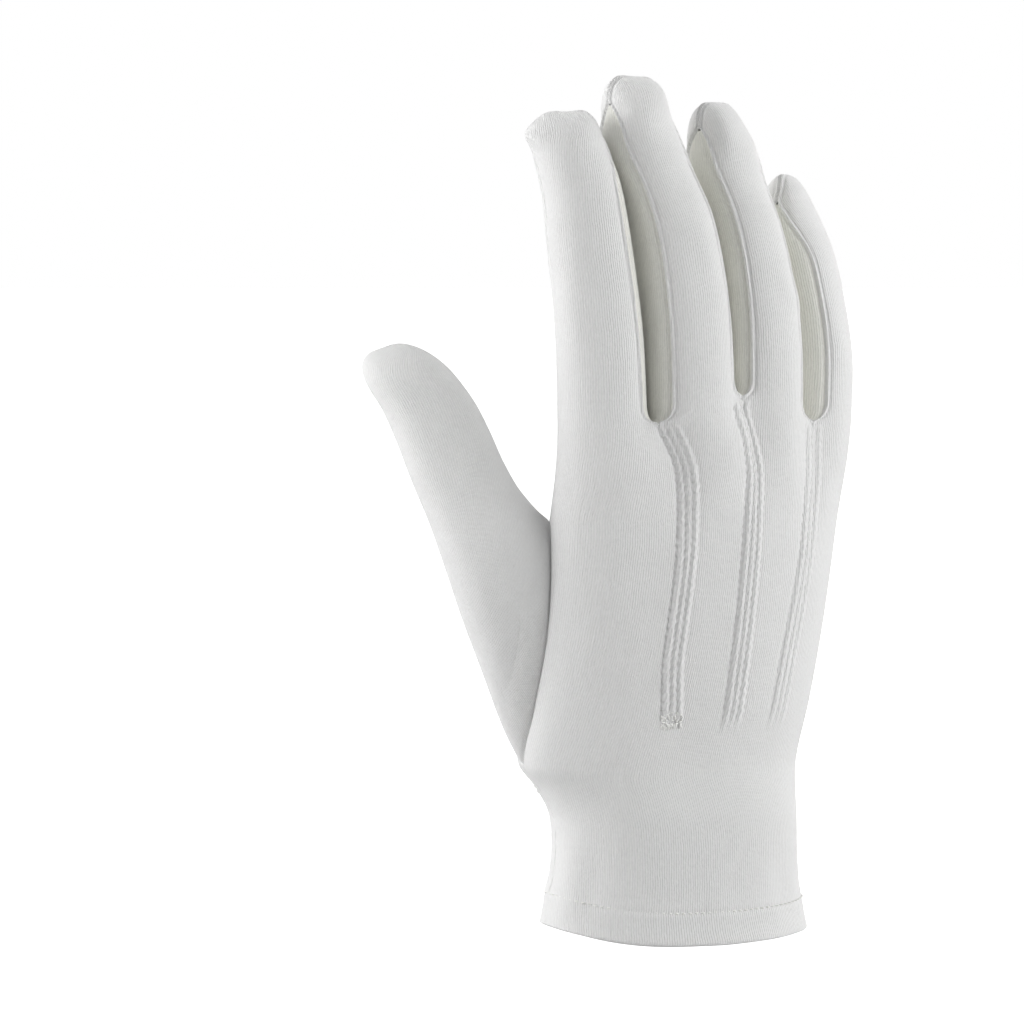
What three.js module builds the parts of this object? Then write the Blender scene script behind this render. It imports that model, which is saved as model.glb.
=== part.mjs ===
// White dress glove for a right hand, worn: cotton panels sewn round a hand that isn't modelled.
// X runs towards the little finger, Y towards the palm side and Z up to the fingertips.
import * as THREE from "three";

// Main sizes, in millimetres
const HAND_HEIGHT = 147; // lowest point of the rim up to the line where the fingers part
const HAND_WIDTH = 84; // across the knuckles, seen from the back
const HAND_DEPTH = 42; // back to palm at the wrist
const WALL = 1.2; // knitted cotton cloth
const SEAM_GAP = 0.3; // between two sewn pieces
const HEM_HEIGHT = 9; // turned hem at the rim
const HEM_PROUD = 0.4; // how far the doubled hem stands out on each side of the cloth
const RIM_RISE_THUMB_SIDE = 4.5;
const RIM_RISE_LITTLE_SIDE = 1.5;
const POINT_WIDTH = 6; // each of the three raised points on the back
const POINT_RISE = 0.8;
const POINT_FOOT = 61; // height where the points end above the wrist
const CROTCH_ROUND = 5; // height of the rounded bottom between two fingers
const TIP_ROUND = 16; // length over which a fingertip narrows
const TIP_CLOSE = 12; // length over which it closes from back to palm
const FOURCHETTE_END = 8.5; // from a fingertip down to the end of the strip beside it
const THUMB_LENGTH = 121; // foot of the thumb seam up to the tip
const THUMB_DEPTH = 28; // back to palm at the base of the thumb
const THUMB_FOOT = 49; // height of the lower end of the thumb seam
const THUMB_CROTCH = 116; // height of its upper end
const ELASTIC_HEIGHT = 42.5; // middle of the elastic inside the palm side of the wrist
const ELASTIC_WIDTH = 6;
const ELASTIC_WALL = 1;
const GATHER_PITCH = 9; // from one gather to the next along the elastic
const GATHER_DEPTH = 1.1;

const FINGERS = [
  { name: "index", length: 88, width: 24.5, depth: 23, bend: 10, turn: 14 },
  { name: "middle", length: 92.5, width: 25, depth: 25.5, bend: 15, turn: 29 },
  { name: "ring", length: 85, width: 22.5, depth: 22, bend: 16, turn: 34 },
  { name: "little", length: 70, width: 20.5, depth: 20, bend: 14, turn: 60 },
];

// Where each finger starts, as shares of HAND_WIDTH and HAND_DEPTH
const FINGER_BASES = [
  { across: -0.235, deep: -0.38 },
  { across: 0.042, deep: -0.155 },
  { across: 0.282, deep: 0.135 },
  { across: 0.47, deep: 0.49 },
];

// Height of the line where the fingers part, from the thumb side to the little finger's side
const PARTING_HEIGHTS = [0.96, 0.98, 1.029, 0.978, 0.96];

// How a finger leans sideways, as shares of its length, and bends to the palm, as shares of its bend
const FINGER_PATHS = [
  { along: 0, index: 0, middle: 0, ring: 0, little: 0, bend: 0 },
  { along: 0.3, index: -0.012, middle: -0.012, ring: -0.005, little: 0, bend: 0.12 },
  { along: 0.55, index: -0.04, middle: -0.048, ring: -0.035, little: -0.022, bend: 0.31 },
  { along: 0.78, index: -0.08, middle: -0.115, ring: -0.1, little: -0.065, bend: 0.6 },
  { along: 1, index: -0.115, middle: -0.155, ring: -0.135, little: -0.105, bend: 1 },
];

// Finger girth along its length, as shares of its width and depth
const FINGER_GIRTHS = [
  { along: 0, share: 1 },
  { along: 0.25, share: 0.98 },
  { along: 0.5, share: 0.95 },
  { along: 0.75, share: 0.96 },
  { along: 1, share: 0.94 },
];

// Sections of cuff, wrist and hand: heights, widths and depths as shares of the hand's
const HAND_SECTIONS = [
  { up: 0, middle: 0.001, reach: 0.468, back: 0.548, palm: 0.548, deep: 0, turn: 20 },
  { up: 0.061, middle: 0, reach: 0.451, back: 0.524, palm: 0.524, deep: 0, turn: 20 },
  { up: 0.136, middle: 0.01, reach: 0.427, back: 0.5, palm: 0.5, deep: 0, turn: 20 },
  { up: 0.231, middle: 0.007, reach: 0.425, back: 0.488, palm: 0.476, deep: 0, turn: 20 },
  { up: 0.286, middle: -0.017, reach: 0.449, back: 0.476, palm: 0.44, deep: 0, turn: 21 },
  { up: 0.337, middle: -0.044, reach: 0.486, back: 0.476, palm: 0.452, deep: 0, turn: 22 },
  { up: 0.442, middle: -0.015, reach: 0.505, back: 0.488, palm: 0.429, deep: 0.012, turn: 24 },
  { up: 0.578, middle: 0.022, reach: 0.522, back: 0.5, palm: 0.333, deep: 0.036, turn: 27 },
  { up: 0.714, middle: 0.051, reach: 0.536, back: 0.512, palm: 0.238, deep: 0.071, turn: 29 },
  { up: 0.789, middle: 0.064, reach: 0.543, back: 0.512, palm: 0.19, deep: 0.086, turn: 30 },
  { up: 0.898, middle: 0.083, reach: 0.554, back: 0.512, palm: 0.119, deep: 0.1, turn: 31 },
  { up: 1.03, middle: 0.092, reach: 0.563, back: 0.512, palm: 0.095, deep: 0.11, turn: 32 },
];

// Angles of the three point lines over the back, and of the lines under them on the palm side
const POINT_LINES = [
  { up: 0, first: -6, second: 13, third: 37 },
  { up: 0.42, first: -10, second: 13.4, third: 37 },
  { up: 0.54, first: -14.2, second: 11.4, third: 35.8 },
  { up: 0.72, first: -16.3, second: 9, third: 36.3 },
  { up: 0.88, first: -20.4, second: 7, third: 35 },
  { up: 0.94, first: -25.5, second: 4.5, third: 33.5 },
  { up: 1, first: -33, second: 1, third: 32.5 },
];
const PALM_LINES = [
  { up: 0, first: -38, second: 0, third: 38 },
  { up: 0.6, first: -34, second: 2, third: 36 },
  { up: 1, first: -20, second: 12, third: 42 },
];

// Raised and hollow forms of the palm: place and size as shares of a right angle and HAND_HEIGHT,
// rise as a share of HAND_DEPTH
const PALM_FORMS = [
  { across: 0.55, up: 0.5, wide: 0.4, tall: 0.24, rise: 0.12 },
  { across: -0.75, up: 0.5, wide: 0.35, tall: 0.26, rise: 0.1 },
  { across: 0, up: 0.68, wide: 0.35, tall: 0.22, rise: -0.07 },
  { across: 0, up: 0.97, wide: 1.2, tall: 0.1, rise: 0.05 },
];

// Folds of the cuff on the palm side, in the same shares
const CUFF_FOLDS = [
  { across: 0.62, up: 0.14, wide: 0.06, tall: 0.12, rise: 0.04 },
  { across: 0.5, up: 0.14, wide: 0.05, tall: 0.12, rise: -0.035 },
  { across: 0.06, up: 0.17, wide: 0.05, tall: 0.08, rise: -0.03 },
  { across: -0.1, up: 0.15, wide: 0.05, tall: 0.09, rise: 0.03 },
  { across: -0.28, up: 0.13, wide: 0.06, tall: 0.13, rise: -0.06 },
  { across: -0.4, up: 0.14, wide: 0.07, tall: 0.13, rise: 0.035 },
];

// The thumb from its seam to its tip: centre and half width of each section seen from the back, as
// shares of THUMB_LENGTH, half depth and place in depth as shares of THUMB_DEPTH
const THUMB_SECTIONS = [
  { along: 0, x: 0.033, z: 0.278, halfX: 0.033, halfZ: 0.278, depth: 0.4, deep: -0.52 },
  { along: 0.1, x: 0.003, z: 0.328, halfX: 0.052, halfZ: 0.239, depth: 0.46, deep: -0.52 },
  { along: 0.2, x: -0.03, z: 0.394, halfX: 0.066, halfZ: 0.187, depth: 0.5, deep: -0.51 },
  { along: 0.3, x: -0.064, z: 0.466, halfX: 0.079, halfZ: 0.136, depth: 0.51, deep: -0.5 },
  { along: 0.4, x: -0.098, z: 0.543, halfX: 0.082, halfZ: 0.098, depth: 0.48, deep: -0.48 },
  { along: 0.5, x: -0.131, z: 0.625, halfX: 0.083, halfZ: 0.074, depth: 0.44, deep: -0.46 },
  { along: 0.6, x: -0.165, z: 0.708, halfX: 0.09, halfZ: 0.053, depth: 0.41, deep: -0.44 },
  { along: 0.7, x: -0.2, z: 0.789, halfX: 0.091, halfZ: 0.039, depth: 0.4, deep: -0.41 },
  { along: 0.8, x: -0.24, z: 0.857, halfX: 0.089, halfZ: 0.029, depth: 0.39, deep: -0.37 },
  { along: 1, x: -0.322, z: 0.953, halfX: 0.086, halfZ: 0.03, depth: 0.38, deep: -0.29 },
];

// Angles in degrees
const SIDE = 90;
const FOURCHETTE_EDGE = 48; // from the ridge of a finger to its seam
const THUMB_HOLE_BACK = 9; // how far the thumb's hole reaches round the back, and the palm
const THUMB_HOLE_PALM = 40;

// Rounding of the oval sections: 2 is an ellipse, more is boxier
const HAND_OVAL = 2.2;
const TIP_OVAL = 2.2; // power of the oval that narrows a fingertip
const HOLE_OVAL = 0.7; // power of the sine that shapes the thumb's hole
const SEAM_TURN = 0.72; // share of a fourchette seam after which it turns to the side
const SEAM_SHORT = 2.5; // degrees by which that seam stops short of the side
const CROTCH_BLEND = 3; // rounds of a crotch over which it blends into the finger
const BEND_START = 0.1; // share of the hand below its top where its rows start to bend
const THUMB_TIP = 0.2; // share of the thumb that is rounded
const THUMB_ROOT = 0.45; // share of the thumb that is drawn towards its hole
const ELASTIC_REACH = 0.86; // share of the palm's half that the elastic covers
const ELASTIC_CELLS = 20;
const SAME_PLACE = 0.001; // points nearer than this are one
const FINGER_OVAL = 2.25;
const LIP_SHARE = 0.15; // width of a fingertip's closing seam, of the finger's width

// Cells of the meshes
const BACK_CELLS = [4, 2, 2, 4]; // between the points, beside the cells of the points themselves
const PALM_CELLS = [6, 6, 6, 6];
const CUFF_LEVELS = [0, 0.2, 0.4, 0.58, 0.72, 0.84, 0.93, 1];
const HOLE_CELLS = 9;
const KNUCKLE_CELLS = 4;
const FINGER_LEVELS = [0.13, 0.26, 0.4, 0.55, 0.7, 0.82];
const CROTCH_STEPS = [0, 0.16, 0.5, 1];
const TIP_STEPS = [0.8, 0.36, 0.12, 0];
const FOURCHETTE_CELLS = 3;
const THUMB_LEVELS = [0, 0.05, 0.12, 0.2, 0.3, 0.4, 0.5, 0.6, 0.7, 0.8, 0.88, 0.95, 0.985, 1];
const POINT_OFFSETS = [-0.5, -0.36, 0, 0.36, 0.5]; // lines of a point, as shares of its width

const radians = THREE.MathUtils.degToRad;
const clamp = THREE.MathUtils.clamp;
const mix = THREE.MathUtils.lerp;

function ease(t) {
  const c = clamp(t, 0, 1);
  return c * c * (3 - 2 * c);
}

// A smooth curve through one column of a table, read at a value of its key column
function curve(table, key, column, at) {
  const last = table.length - 1;
  let i = 0;
  while (i < last - 1 && at > table[i + 1][key]) i += 1;
  const slope = (a, b) => (table[b][column] - table[a][column]) / (table[b][key] - table[a][key]);
  const step = table[i + 1][key] - table[i][key];
  const t = clamp((at - table[i][key]) / step, 0, 1);
  const startSlope = slope(Math.max(i - 1, 0), i + 1);
  const endSlope = slope(i, Math.min(i + 2, last));
  const start = table[i][column] * (1 + 2 * t) * (1 - t) ** 2 + startSlope * step * t * (1 - t) ** 2;
  const end = table[i + 1][column] * t * t * (3 - 2 * t) + endSlope * step * t * t * (t - 1);
  return start + end;
}

// Sine and cosine of an oval that is boxier than an ellipse
function ovalSin(angle, power) {
  const s = Math.sin(radians(angle));
  return Math.sign(s) * Math.abs(s) ** (2 / power);
}

function ovalCos(angle, power) {
  const c = Math.cos(radians(angle));
  if (Math.abs(c) < 1e-9) return 0;
  return Math.sign(c) * Math.abs(c) ** (2 / power);
}

// A point of an oval section that is turned about Z
function ovalPoint(centre, wide, deep, turn, z) {
  const x = centre.x + wide * Math.cos(turn) + deep * Math.sin(turn);
  const y = centre.y + wide * Math.sin(turn) - deep * Math.cos(turn);
  return new THREE.Vector3(x, y, z);
}

function bump(form, across, up) {
  const a = (across - form.across) / form.wide;
  const b = (up - form.up) / form.tall;
  return form.rise * Math.exp(-a * a - b * b);
}

// Gathers that the elastic draws into the palm side of the wrist, with its own groove
function gathers(angle, z) {
  const reach = HAND_WIDTH / 2;
  const wave = Math.cos((2 * Math.PI * reach * radians(angle)) / GATHER_PITCH);
  const away = (z - ELASTIC_HEIGHT) / ELASTIC_WIDTH;
  const edge = Math.cos(radians(angle)) ** 2;
  const puckers = wave * away * away * Math.exp(1 - away * away);
  return GATHER_DEPTH * edge * (puckers - Math.exp(-away * away * 2));
}

// The hand below the fingers: side is 1 on the back and -1 on the palm side
function handPoint(side, angle, z) {
  const up = z / HAND_HEIGHT;
  const read = (column) => curve(HAND_SECTIONS, "up", column, up);
  const centre = { x: read("middle") * HAND_WIDTH, y: read("deep") * HAND_DEPTH };
  const wide = read("reach") * HAND_WIDTH * ovalSin(angle, HAND_OVAL);
  let deep = read(side > 0 ? "back" : "palm") * HAND_DEPTH * ovalCos(angle, HAND_OVAL);
  if (side < 0) {
    const across = angle / SIDE;
    const edge = 1 - across ** 4;
    const forms = PALM_FORMS.concat(CUFF_FOLDS);
    const rise = forms.reduce((sum, form) => sum + bump(form, across, up), 0);
    deep += rise * HAND_DEPTH * edge + gathers(angle, z);
  }
  return ovalPoint(centre, wide, side * deep, radians(read("turn")), z);
}

const rimHeight = (side, angle) => {
  const s = Math.sin(radians(angle));
  return (s < 0 ? RIM_RISE_THUMB_SIDE : RIM_RISE_LITTLE_SIDE) * s * s;
};

// The plain tube of a finger: along is 0 where the fingers part and 1 at the tip
function tubePoint(f, angle, along) {
  const finger = FINGERS[f];
  const read = (table, column) => curve(table, "along", column, along);
  const left = PARTING_HEIGHTS[f] * HAND_HEIGHT;
  const right = PARTING_HEIGHTS[f + 1] * HAND_HEIGHT;
  const start = mix(left, right, sideShare(f, angle));
  const tip = (left + right) / 2 + finger.length;
  const centre = {
    x: FINGER_BASES[f].across * HAND_WIDTH + read(FINGER_PATHS, finger.name) * finger.length,
    y: FINGER_BASES[f].deep * HAND_DEPTH + read(FINGER_PATHS, "bend") * finger.bend,
  };
  const girth = read(FINGER_GIRTHS, "share") / 2;
  const toTip = (1 - along) * finger.length;
  const wide = finger.width * girth * narrowing(toTip) * ovalSin(angle, FINGER_OVAL);
  const deep = finger.depth * girth * closing(toTip) * ovalCos(angle, FINGER_OVAL);
  return ovalPoint(centre, wide, deep, radians(finger.turn), mix(start, tip, along));
}

// How far round a finger an angle lies, from its thumb side at 0 to its little side at 1
function sideShare(f, angle) {
  const turned = Math.abs(angle) > SIDE ? Math.sign(angle) * 2 * SIDE - angle : angle;
  const from = f === 0 ? -SIDE : -FOURCHETTE_EDGE;
  const to = f === FINGERS.length - 1 ? SIDE : FOURCHETTE_EDGE;
  return clamp((turned - from) / (to - from), 0, 1);
}

function narrowing(toTip) {
  const t = clamp(1 - toTip / TIP_ROUND, 0, 1);
  return LIP_SHARE + (1 - LIP_SHARE) * (1 - t ** TIP_OVAL) ** (1 / TIP_OVAL);
}

function closing(toTip) {
  const t = clamp(1 - toTip / TIP_CLOSE, 0, 1);
  return Math.sqrt(1 - t * t);
}

// A point of the line where fingers f and f + 1 part, at an angle of the left one's side
function partingPoint(f, angle) {
  return tubePoint(f, angle, 0).add(tubePoint(f + 1, -angle, 0)).multiplyScalar(0.5);
}

// A finger's cloth: its tube, drawn at its foot to the round bottom between two fingers
function fingerPoint(f, angle, along) {
  const point = tubePoint(f, angle, along);
  const height = (along * FINGERS[f].length) / CROTCH_ROUND;
  if (height >= 1) return point;
  const pull = 1 - Math.sqrt(1 - (1 - height) ** 2);
  const turned = Math.abs(angle) > SIDE ? 2 * SIDE - Math.abs(angle) : Math.abs(angle);
  const share = Math.min(turned / FOURCHETTE_EDGE, 1) ** 4;
  const between = angle > 0 ? f : f - 1;
  if (between < 0 || between === FINGERS.length - 1) return point;
  const side = turned < FOURCHETTE_EDGE;
  const edge = Math.abs(angle) > SIDE ? 2 * SIDE - FOURCHETTE_EDGE : FOURCHETTE_EDGE;
  const at = side ? edge : Math.abs(angle);
  const sign = angle > 0 ? 1 : -1;
  const shift = partingPoint(between, at).sub(tubePoint(f, sign * at, 0));
  return point.addScaledVector(shift, pull * share);
}

// Angle of a finger's seam beside its fourchette, which closes on the side near the tip
function seamAngle(f, along) {
  const end = 1 - FOURCHETTE_END / FINGERS[f].length;
  const t = clamp((along / end - SEAM_TURN) / (1 - SEAM_TURN), 0, 1);
  return along > end + 1e-9 ? SIDE : mix(FOURCHETTE_EDGE, SIDE - SEAM_SHORT, t * t);
}

const fingerSteps = FINGERS.map((finger) => {
  const end = 1 - FOURCHETTE_END / finger.length;
  const foot = CROTCH_STEPS.map((step) => (step * CROTCH_ROUND) / finger.length);
  const tip = TIP_STEPS.map((step) => 1 - (step * FOURCHETTE_END) / finger.length);
  const all = [...foot, ...FINGER_LEVELS, end, ...tip];
  return { foot, all, end: foot.length + FINGER_LEVELS.length };
});

// The angles across one finger's strip of a panel, and over the hand below it
function spread(from, to, cells) {
  return Array.from({ length: cells + 1 }, (_, i) => mix(from, to, i / cells));
}

function pointHalf(radius) {
  const inner = THREE.MathUtils.radToDeg((POINT_OFFSETS[3] * POINT_WIDTH) / radius);
  const outer = THREE.MathUtils.radToDeg((POINT_OFFSETS[4] * POINT_WIDTH) / radius);
  return [inner, outer];
}

function stripAngles(side, f, from, to, radius) {
  const cells = side > 0 ? BACK_CELLS[f] : PALM_CELLS[f];
  if (side < 0) return spread(from, to, cells);
  const [inner, outer] = pointHalf(radius);
  const lowPoint = f > 0;
  const highPoint = f < FINGERS.length - 1;
  const plain = spread(from + (lowPoint ? outer : 0), to - (highPoint ? outer : 0), cells);
  const low = lowPoint ? [from, from + inner] : [];
  const high = highPoint ? [to - inner, to] : [];
  return [...low, ...plain, ...high];
}

function handStripAngles(side, f, z) {
  const up = Math.min(z / HAND_HEIGHT, 1);
  const lines = side > 0 ? POINT_LINES : PALM_LINES;
  const names = ["first", "second", "third"];
  const from = f === 0 ? -SIDE + holeReach(side, z) : curve(lines, "up", names[f - 1], up);
  const to = f === FINGERS.length - 1 ? SIDE : curve(lines, "up", names[f], up);
  return stripAngles(side, f, from, to, curve(HAND_SECTIONS, "up", "reach", up) * HAND_WIDTH);
}

function holeReach(side, z) {
  const t = (z - THUMB_FOOT) / (THUMB_CROTCH - THUMB_FOOT);
  if (t < 1e-6 || t > 1 - 1e-6) return 0;
  return (side > 0 ? THUMB_HOLE_BACK : THUMB_HOLE_PALM) * Math.sin(Math.PI * t) ** HOLE_OVAL;
}

function fingerStripAngles(side, f, along) {
  const edge = seamAngle(f, along);
  const from = f === 0 ? -SIDE : -edge;
  const to = f === FINGERS.length - 1 ? SIDE : edge;
  const even = spread(from, to, stripAngles(side, f, from, to, HAND_WIDTH).length - 1);
  const gripped = stripAngles(side, f, from, to, FINGERS[f].width / 2);
  const weight = 1 - ease((along * FINGERS[f].length) / (CROTCH_BLEND * CROTCH_ROUND));
  return even.map((angle, i) => mix(angle, gripped[i], weight));
}

// On the palm side a finger's angles run the other way round, from 180 degrees
const round = (side, angle) => (side > 0 ? angle : Math.sign(angle || 1) * 2 * SIDE - angle);

// Levels of the hand's rows: 0 on the hem, 1 where the fingers part
const hemTop = (side, angle) => rimHeight(side, angle) + HEM_HEIGHT;
const sideHeights = { low: hemTop(1, -SIDE), high: PARTING_HEIGHTS[0] * HAND_HEIGHT };
const levelOf = (z) => (z - sideHeights.low) / (sideHeights.high - sideHeights.low);
const footLevel = levelOf(THUMB_FOOT);
const crotchLevel = levelOf(THUMB_CROTCH);
const handLevels = [
  ...CUFF_LEVELS.map((level) => level * footLevel),
  ...spread(footLevel, crotchLevel, HOLE_CELLS).slice(1),
  ...spread(crotchLevel, 1, KNUCKLE_CELLS).slice(1),
];
const footRow = CUFF_LEVELS.length - 1;
const crotchRow = footRow + HOLE_CELLS;

// One row of the hand part of a panel, blended into the feet of the fingers at its upper end
function handRow(side, level) {
  const row = [];
  FINGERS.forEach((_, f) => {
    const tops = fingerStripAngles(side, f, 0);
    tops.forEach((top, i) => {
      if (f > 0 && i === 0) return;
      const foot = fingerPoint(f, round(side, top), 0);
      const z = mix(hemTop(side, handStripAngles(side, f, 0)[i]), foot.z, level);
      const point = handPoint(side, handStripAngles(side, f, z)[i], z);
      const crown = handPoint(side, handStripAngles(side, f, foot.z)[i], foot.z);
      const weight = ease((level - crotchLevel + BEND_START) / (1 + BEND_START - crotchLevel));
      point.addScaledVector(foot.clone().sub(crown), weight);
      row.push({ at: point, rise: side > 0 ? pointRise(f, i, tops.length, z) : 0 });
    });
  });
  return row;
}

// The raised points stand out between two fingers, from near their crotch to above the wrist
function pointRise(f, i, count, z) {
  const low = f > 0 && i <= 1;
  const high = f < FINGERS.length - 1 && i >= count - 2;
  if (!low && !high) return 0;
  const top = PARTING_HEIGHTS[low ? f : f + 1] * HAND_HEIGHT - CROTCH_ROUND / 2;
  const inside = Math.min((z - POINT_FOOT) / POINT_WIDTH, (top - z) / CROTCH_ROUND);
  return POINT_RISE * ease(inside);
}

function fingerRows(side, f) {
  return fingerSteps[f].all.map((along) => {
    const angles = fingerStripAngles(side, f, along);
    return angles.map((angle) => ({ at: fingerPoint(f, round(side, angle), along), rise: 0 }));
  });
}

// Sheets of cloth
const seamNormals = new Map();
const keyOf = (p) => [p.x, p.y, p.z].map((v) => Math.round(v / SAME_PLACE)).join(",");

class Sheet {
  constructor(name, wall) {
    Object.assign(this, { name, wall, points: [], rises: [], cells: [], known: new Map() });
  }

  add({ at, rise }) {
    const key = keyOf(at);
    if (!this.known.has(key)) {
      this.known.set(key, this.points.length);
      this.points.push(at.clone());
      this.rises.push(rise || 0);
    }
    return this.known.get(key);
  }

  // Rows run up and columns run to the right when the sheet is seen from outside, or flipped
  grid(rows, flipped = false, wraps = false) {
    const ids = rows.map((row) => row.map((point) => this.add(point)));
    for (let i = 0; i + 1 < ids.length; i += 1) {
      const width = ids[i].length;
      for (let j = 0; j + 1 < width + (wraps ? 1 : 0); j += 1) {
        const k = (j + 1) % width;
        const cell = [ids[i][j], ids[i][k], ids[i + 1][k], ids[i + 1][j]];
        this.cells.push(flipped ? cell.reverse() : cell);
      }
    }
    return this;
  }

  // Each cell is cut along its shorter diagonal
  triangles() {
    const span = (p, q) => this.points[p].distanceTo(this.points[q]);
    const halves = this.cells.flatMap(([a, b, c, d]) =>
      span(a, c) <= span(b, d) ? [[a, b, c], [a, c, d]] : [[a, b, d], [b, c, d]],
    );
    return halves.filter(([a, b, c]) => a !== b && b !== c && a !== c);
  }

  // Edges that belong to one triangle only, as the triangle runs along them
  borders(triangles) {
    const edges = new Map();
    triangles.forEach(([a, b, c]) => {
      [[a, b], [b, c], [c, a]].forEach(([from, to]) => edges.set(from + ">" + to, [from, to]));
    });
    return [...edges.values()].filter(([from, to]) => !edges.has(to + ">" + from));
  }

  prepare() {
    this.faces = this.triangles();
    this.edges = this.borders(this.faces);
    this.normals = this.points.map(() => new THREE.Vector3());
    this.faces.forEach((face) => {
      const [a, b, c] = face.map((id) => this.points[id]);
      const normal = b.clone().sub(a).cross(c.clone().sub(a));
      face.forEach((id) => this.normals[id].add(normal));
    });
    const rim = new Set(this.edges.flat());
    this.normals.forEach((normal, id) => {
      normal.normalize();
      if (!rim.has(id)) return;
      const key = keyOf(this.points[id]);
      if (!seamNormals.has(key)) seamNormals.set(key, new THREE.Vector3());
      seamNormals.get(key).add(normal);
    });
    this.rim = rim;
  }

  // How far each point of the border draws back from the seam line
  insets() {
    const inward = new Map();
    this.edges.forEach(([from, to]) => {
      const along = this.points[to].clone().sub(this.points[from]).normalize();
      [from, to].forEach((id) => {
        const into = this.normals[id].clone().cross(along).normalize();
        if (!inward.has(id)) inward.set(id, []);
        inward.get(id).push(into);
      });
    });
    const shifts = this.points.map(() => new THREE.Vector3());
    inward.forEach((sides, id) => {
      const sum = sides.reduce((total, side) => total.add(side), new THREE.Vector3());
      const length = Math.max(sum.length() / sides.length, 0.5);
      shifts[id] = sum.normalize().multiplyScalar(SEAM_GAP / 2 / length);
    });
    return shifts;
  }

  mesh(colour) {
    const shifts = this.insets();
    const normals = this.normals.map((normal, id) =>
      this.rim.has(id) ? seamNormals.get(keyOf(this.points[id])).clone().normalize() : normal,
    );
    const base = this.points.map((point, id) => point.clone().add(shifts[id]));
    const outer = base.map((point, id) => point.clone().addScaledVector(normals[id], this.rises[id]));
    const inner = base.map((point, id) => point.clone().addScaledVector(normals[id], -this.wall));
    const count = base.length;
    const index = [];
    this.faces.forEach(([a, b, c]) => index.push(a, b, c, a + count, c + count, b + count));
    const insideOf = (id) => this.points[id].clone().addScaledVector(normals[id], -this.wall);
    const across = (a, b) => this.points[a].distanceTo(insideOf(b));
    this.edges.forEach(([a, b]) => {
      const near = across(b, a) <= across(a, b) ? [a + count, b] : [b + count, a];
      index.push(b, a, near[0], b + count, near[1], a + count);
    });
    const geometry = new THREE.BufferGeometry().setFromPoints([...outer, ...inner]);
    geometry.setIndex(index);
    geometry.computeVertexNormals();
    const material = new THREE.MeshStandardMaterial({ color: colour, roughness: 0.9, metalness: 0 });
    const mesh = new THREE.Mesh(geometry, material);
    mesh.name = this.name;
    return mesh;
  }
}

// The back and the palm side: the hand, then a strip up each finger
function panel(name, side) {
  const sheet = new Sheet(name, WALL);
  sheet.grid(handLevels.map((level) => handRow(side, level)), side < 0);
  FINGERS.forEach((_, f) => sheet.grid(fingerRows(side, f), side < 0));
  return sheet;
}

// The strip that runs down one finger's side, through the crotch and up the next finger's
function fourchette(f) {
  const sheet = new Sheet("fourchette_" + FINGERS[f].name + "_" + FINGERS[f + 1].name, WALL);
  const flank = (finger, sign, along) => {
    const edge = seamAngle(finger, along);
    const angles = spread(edge, 2 * SIDE - edge, FOURCHETTE_CELLS);
    return angles.map((angle) => ({ at: fingerPoint(finger, sign * angle, along), rise: 0 }));
  };
  const steps = (finger) => fingerSteps[finger].all.slice(0, fingerSteps[finger].end + 1);
  const down = steps(f).reverse().map((along) => flank(f, 1, along));
  const rise = steps(f + 1).slice(1).map((along) => flank(f + 1, -1, along));
  return sheet.grid([...down, ...rise], true);
}

// The thumb: from its seam in the hand's side to a tip that closes in a short seam
function thumbOval(along, angle) {
  const read = (column) => curve(THUMB_SECTIONS, "along", column, along);
  const toTip = ((1 - along) * TIP_ROUND) / THUMB_TIP;
  const wide = ovalCos(angle, FINGER_OVAL) * narrowing(toTip) * THUMB_LENGTH;
  const deep = ovalSin(angle, FINGER_OVAL) * closing(toTip * TIP_CLOSE / TIP_ROUND) * THUMB_DEPTH;
  const foot = handPoint(1, -SIDE, THUMB_FOOT);
  return new THREE.Vector3(
    foot.x + read("x") * THUMB_LENGTH + read("halfX") * wide,
    read("deep") * THUMB_DEPTH - read("depth") * deep,
    foot.z + read("z") * THUMB_LENGTH + read("halfZ") * wide,
  );
}

function thumb(back, palm) {
  const rows = (list) => list.slice(footRow, crotchRow + 1).map((row) => row[0].at);
  const hole = [...rows(back).reverse(), ...rows(palm).slice(1, -1)];
  const turns = hole.map((_, i) => (i / hole.length) * 4 * SIDE);
  const sheet = new Sheet("thumb", WALL);
  const grid = THUMB_LEVELS.map((along) => {
    const pull = clamp(1 - along / THUMB_ROOT, 0, 1) ** 2;
    return hole.map((point, i) => {
      const at = thumbOval(along, turns[i]);
      at.addScaledVector(point.clone().sub(thumbOval(0, turns[i])), pull);
      return { at, rise: 0 };
    });
  });
  return sheet.grid(grid, true, true);
}

// The turned hem: a band of doubled cloth round the rim
function hemBand(back, palm) {
  const sheet = new Sheet("cuff_hem", WALL + 2 * HEM_PROUD);
  const ring = [...back, ...palm.slice(1, -1).reverse()];
  const outward = (point) => new THREE.Vector3(point.x, point.y, 0).normalize();
  const rows = [0, 0.5, 1].map((share) =>
    ring.map(({ at }) => {
      const low = at.clone().setZ(at.z - HEM_HEIGHT);
      const spreadOut = outward(at).multiplyScalar(HEM_PROUD + (1 - share) * HEM_PROUD);
      return { at: low.add(spreadOut).setZ(at.z - HEM_HEIGHT * (1 - share)), rise: 0 };
    }),
  );
  return sheet.grid(rows, false, true);
}

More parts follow.
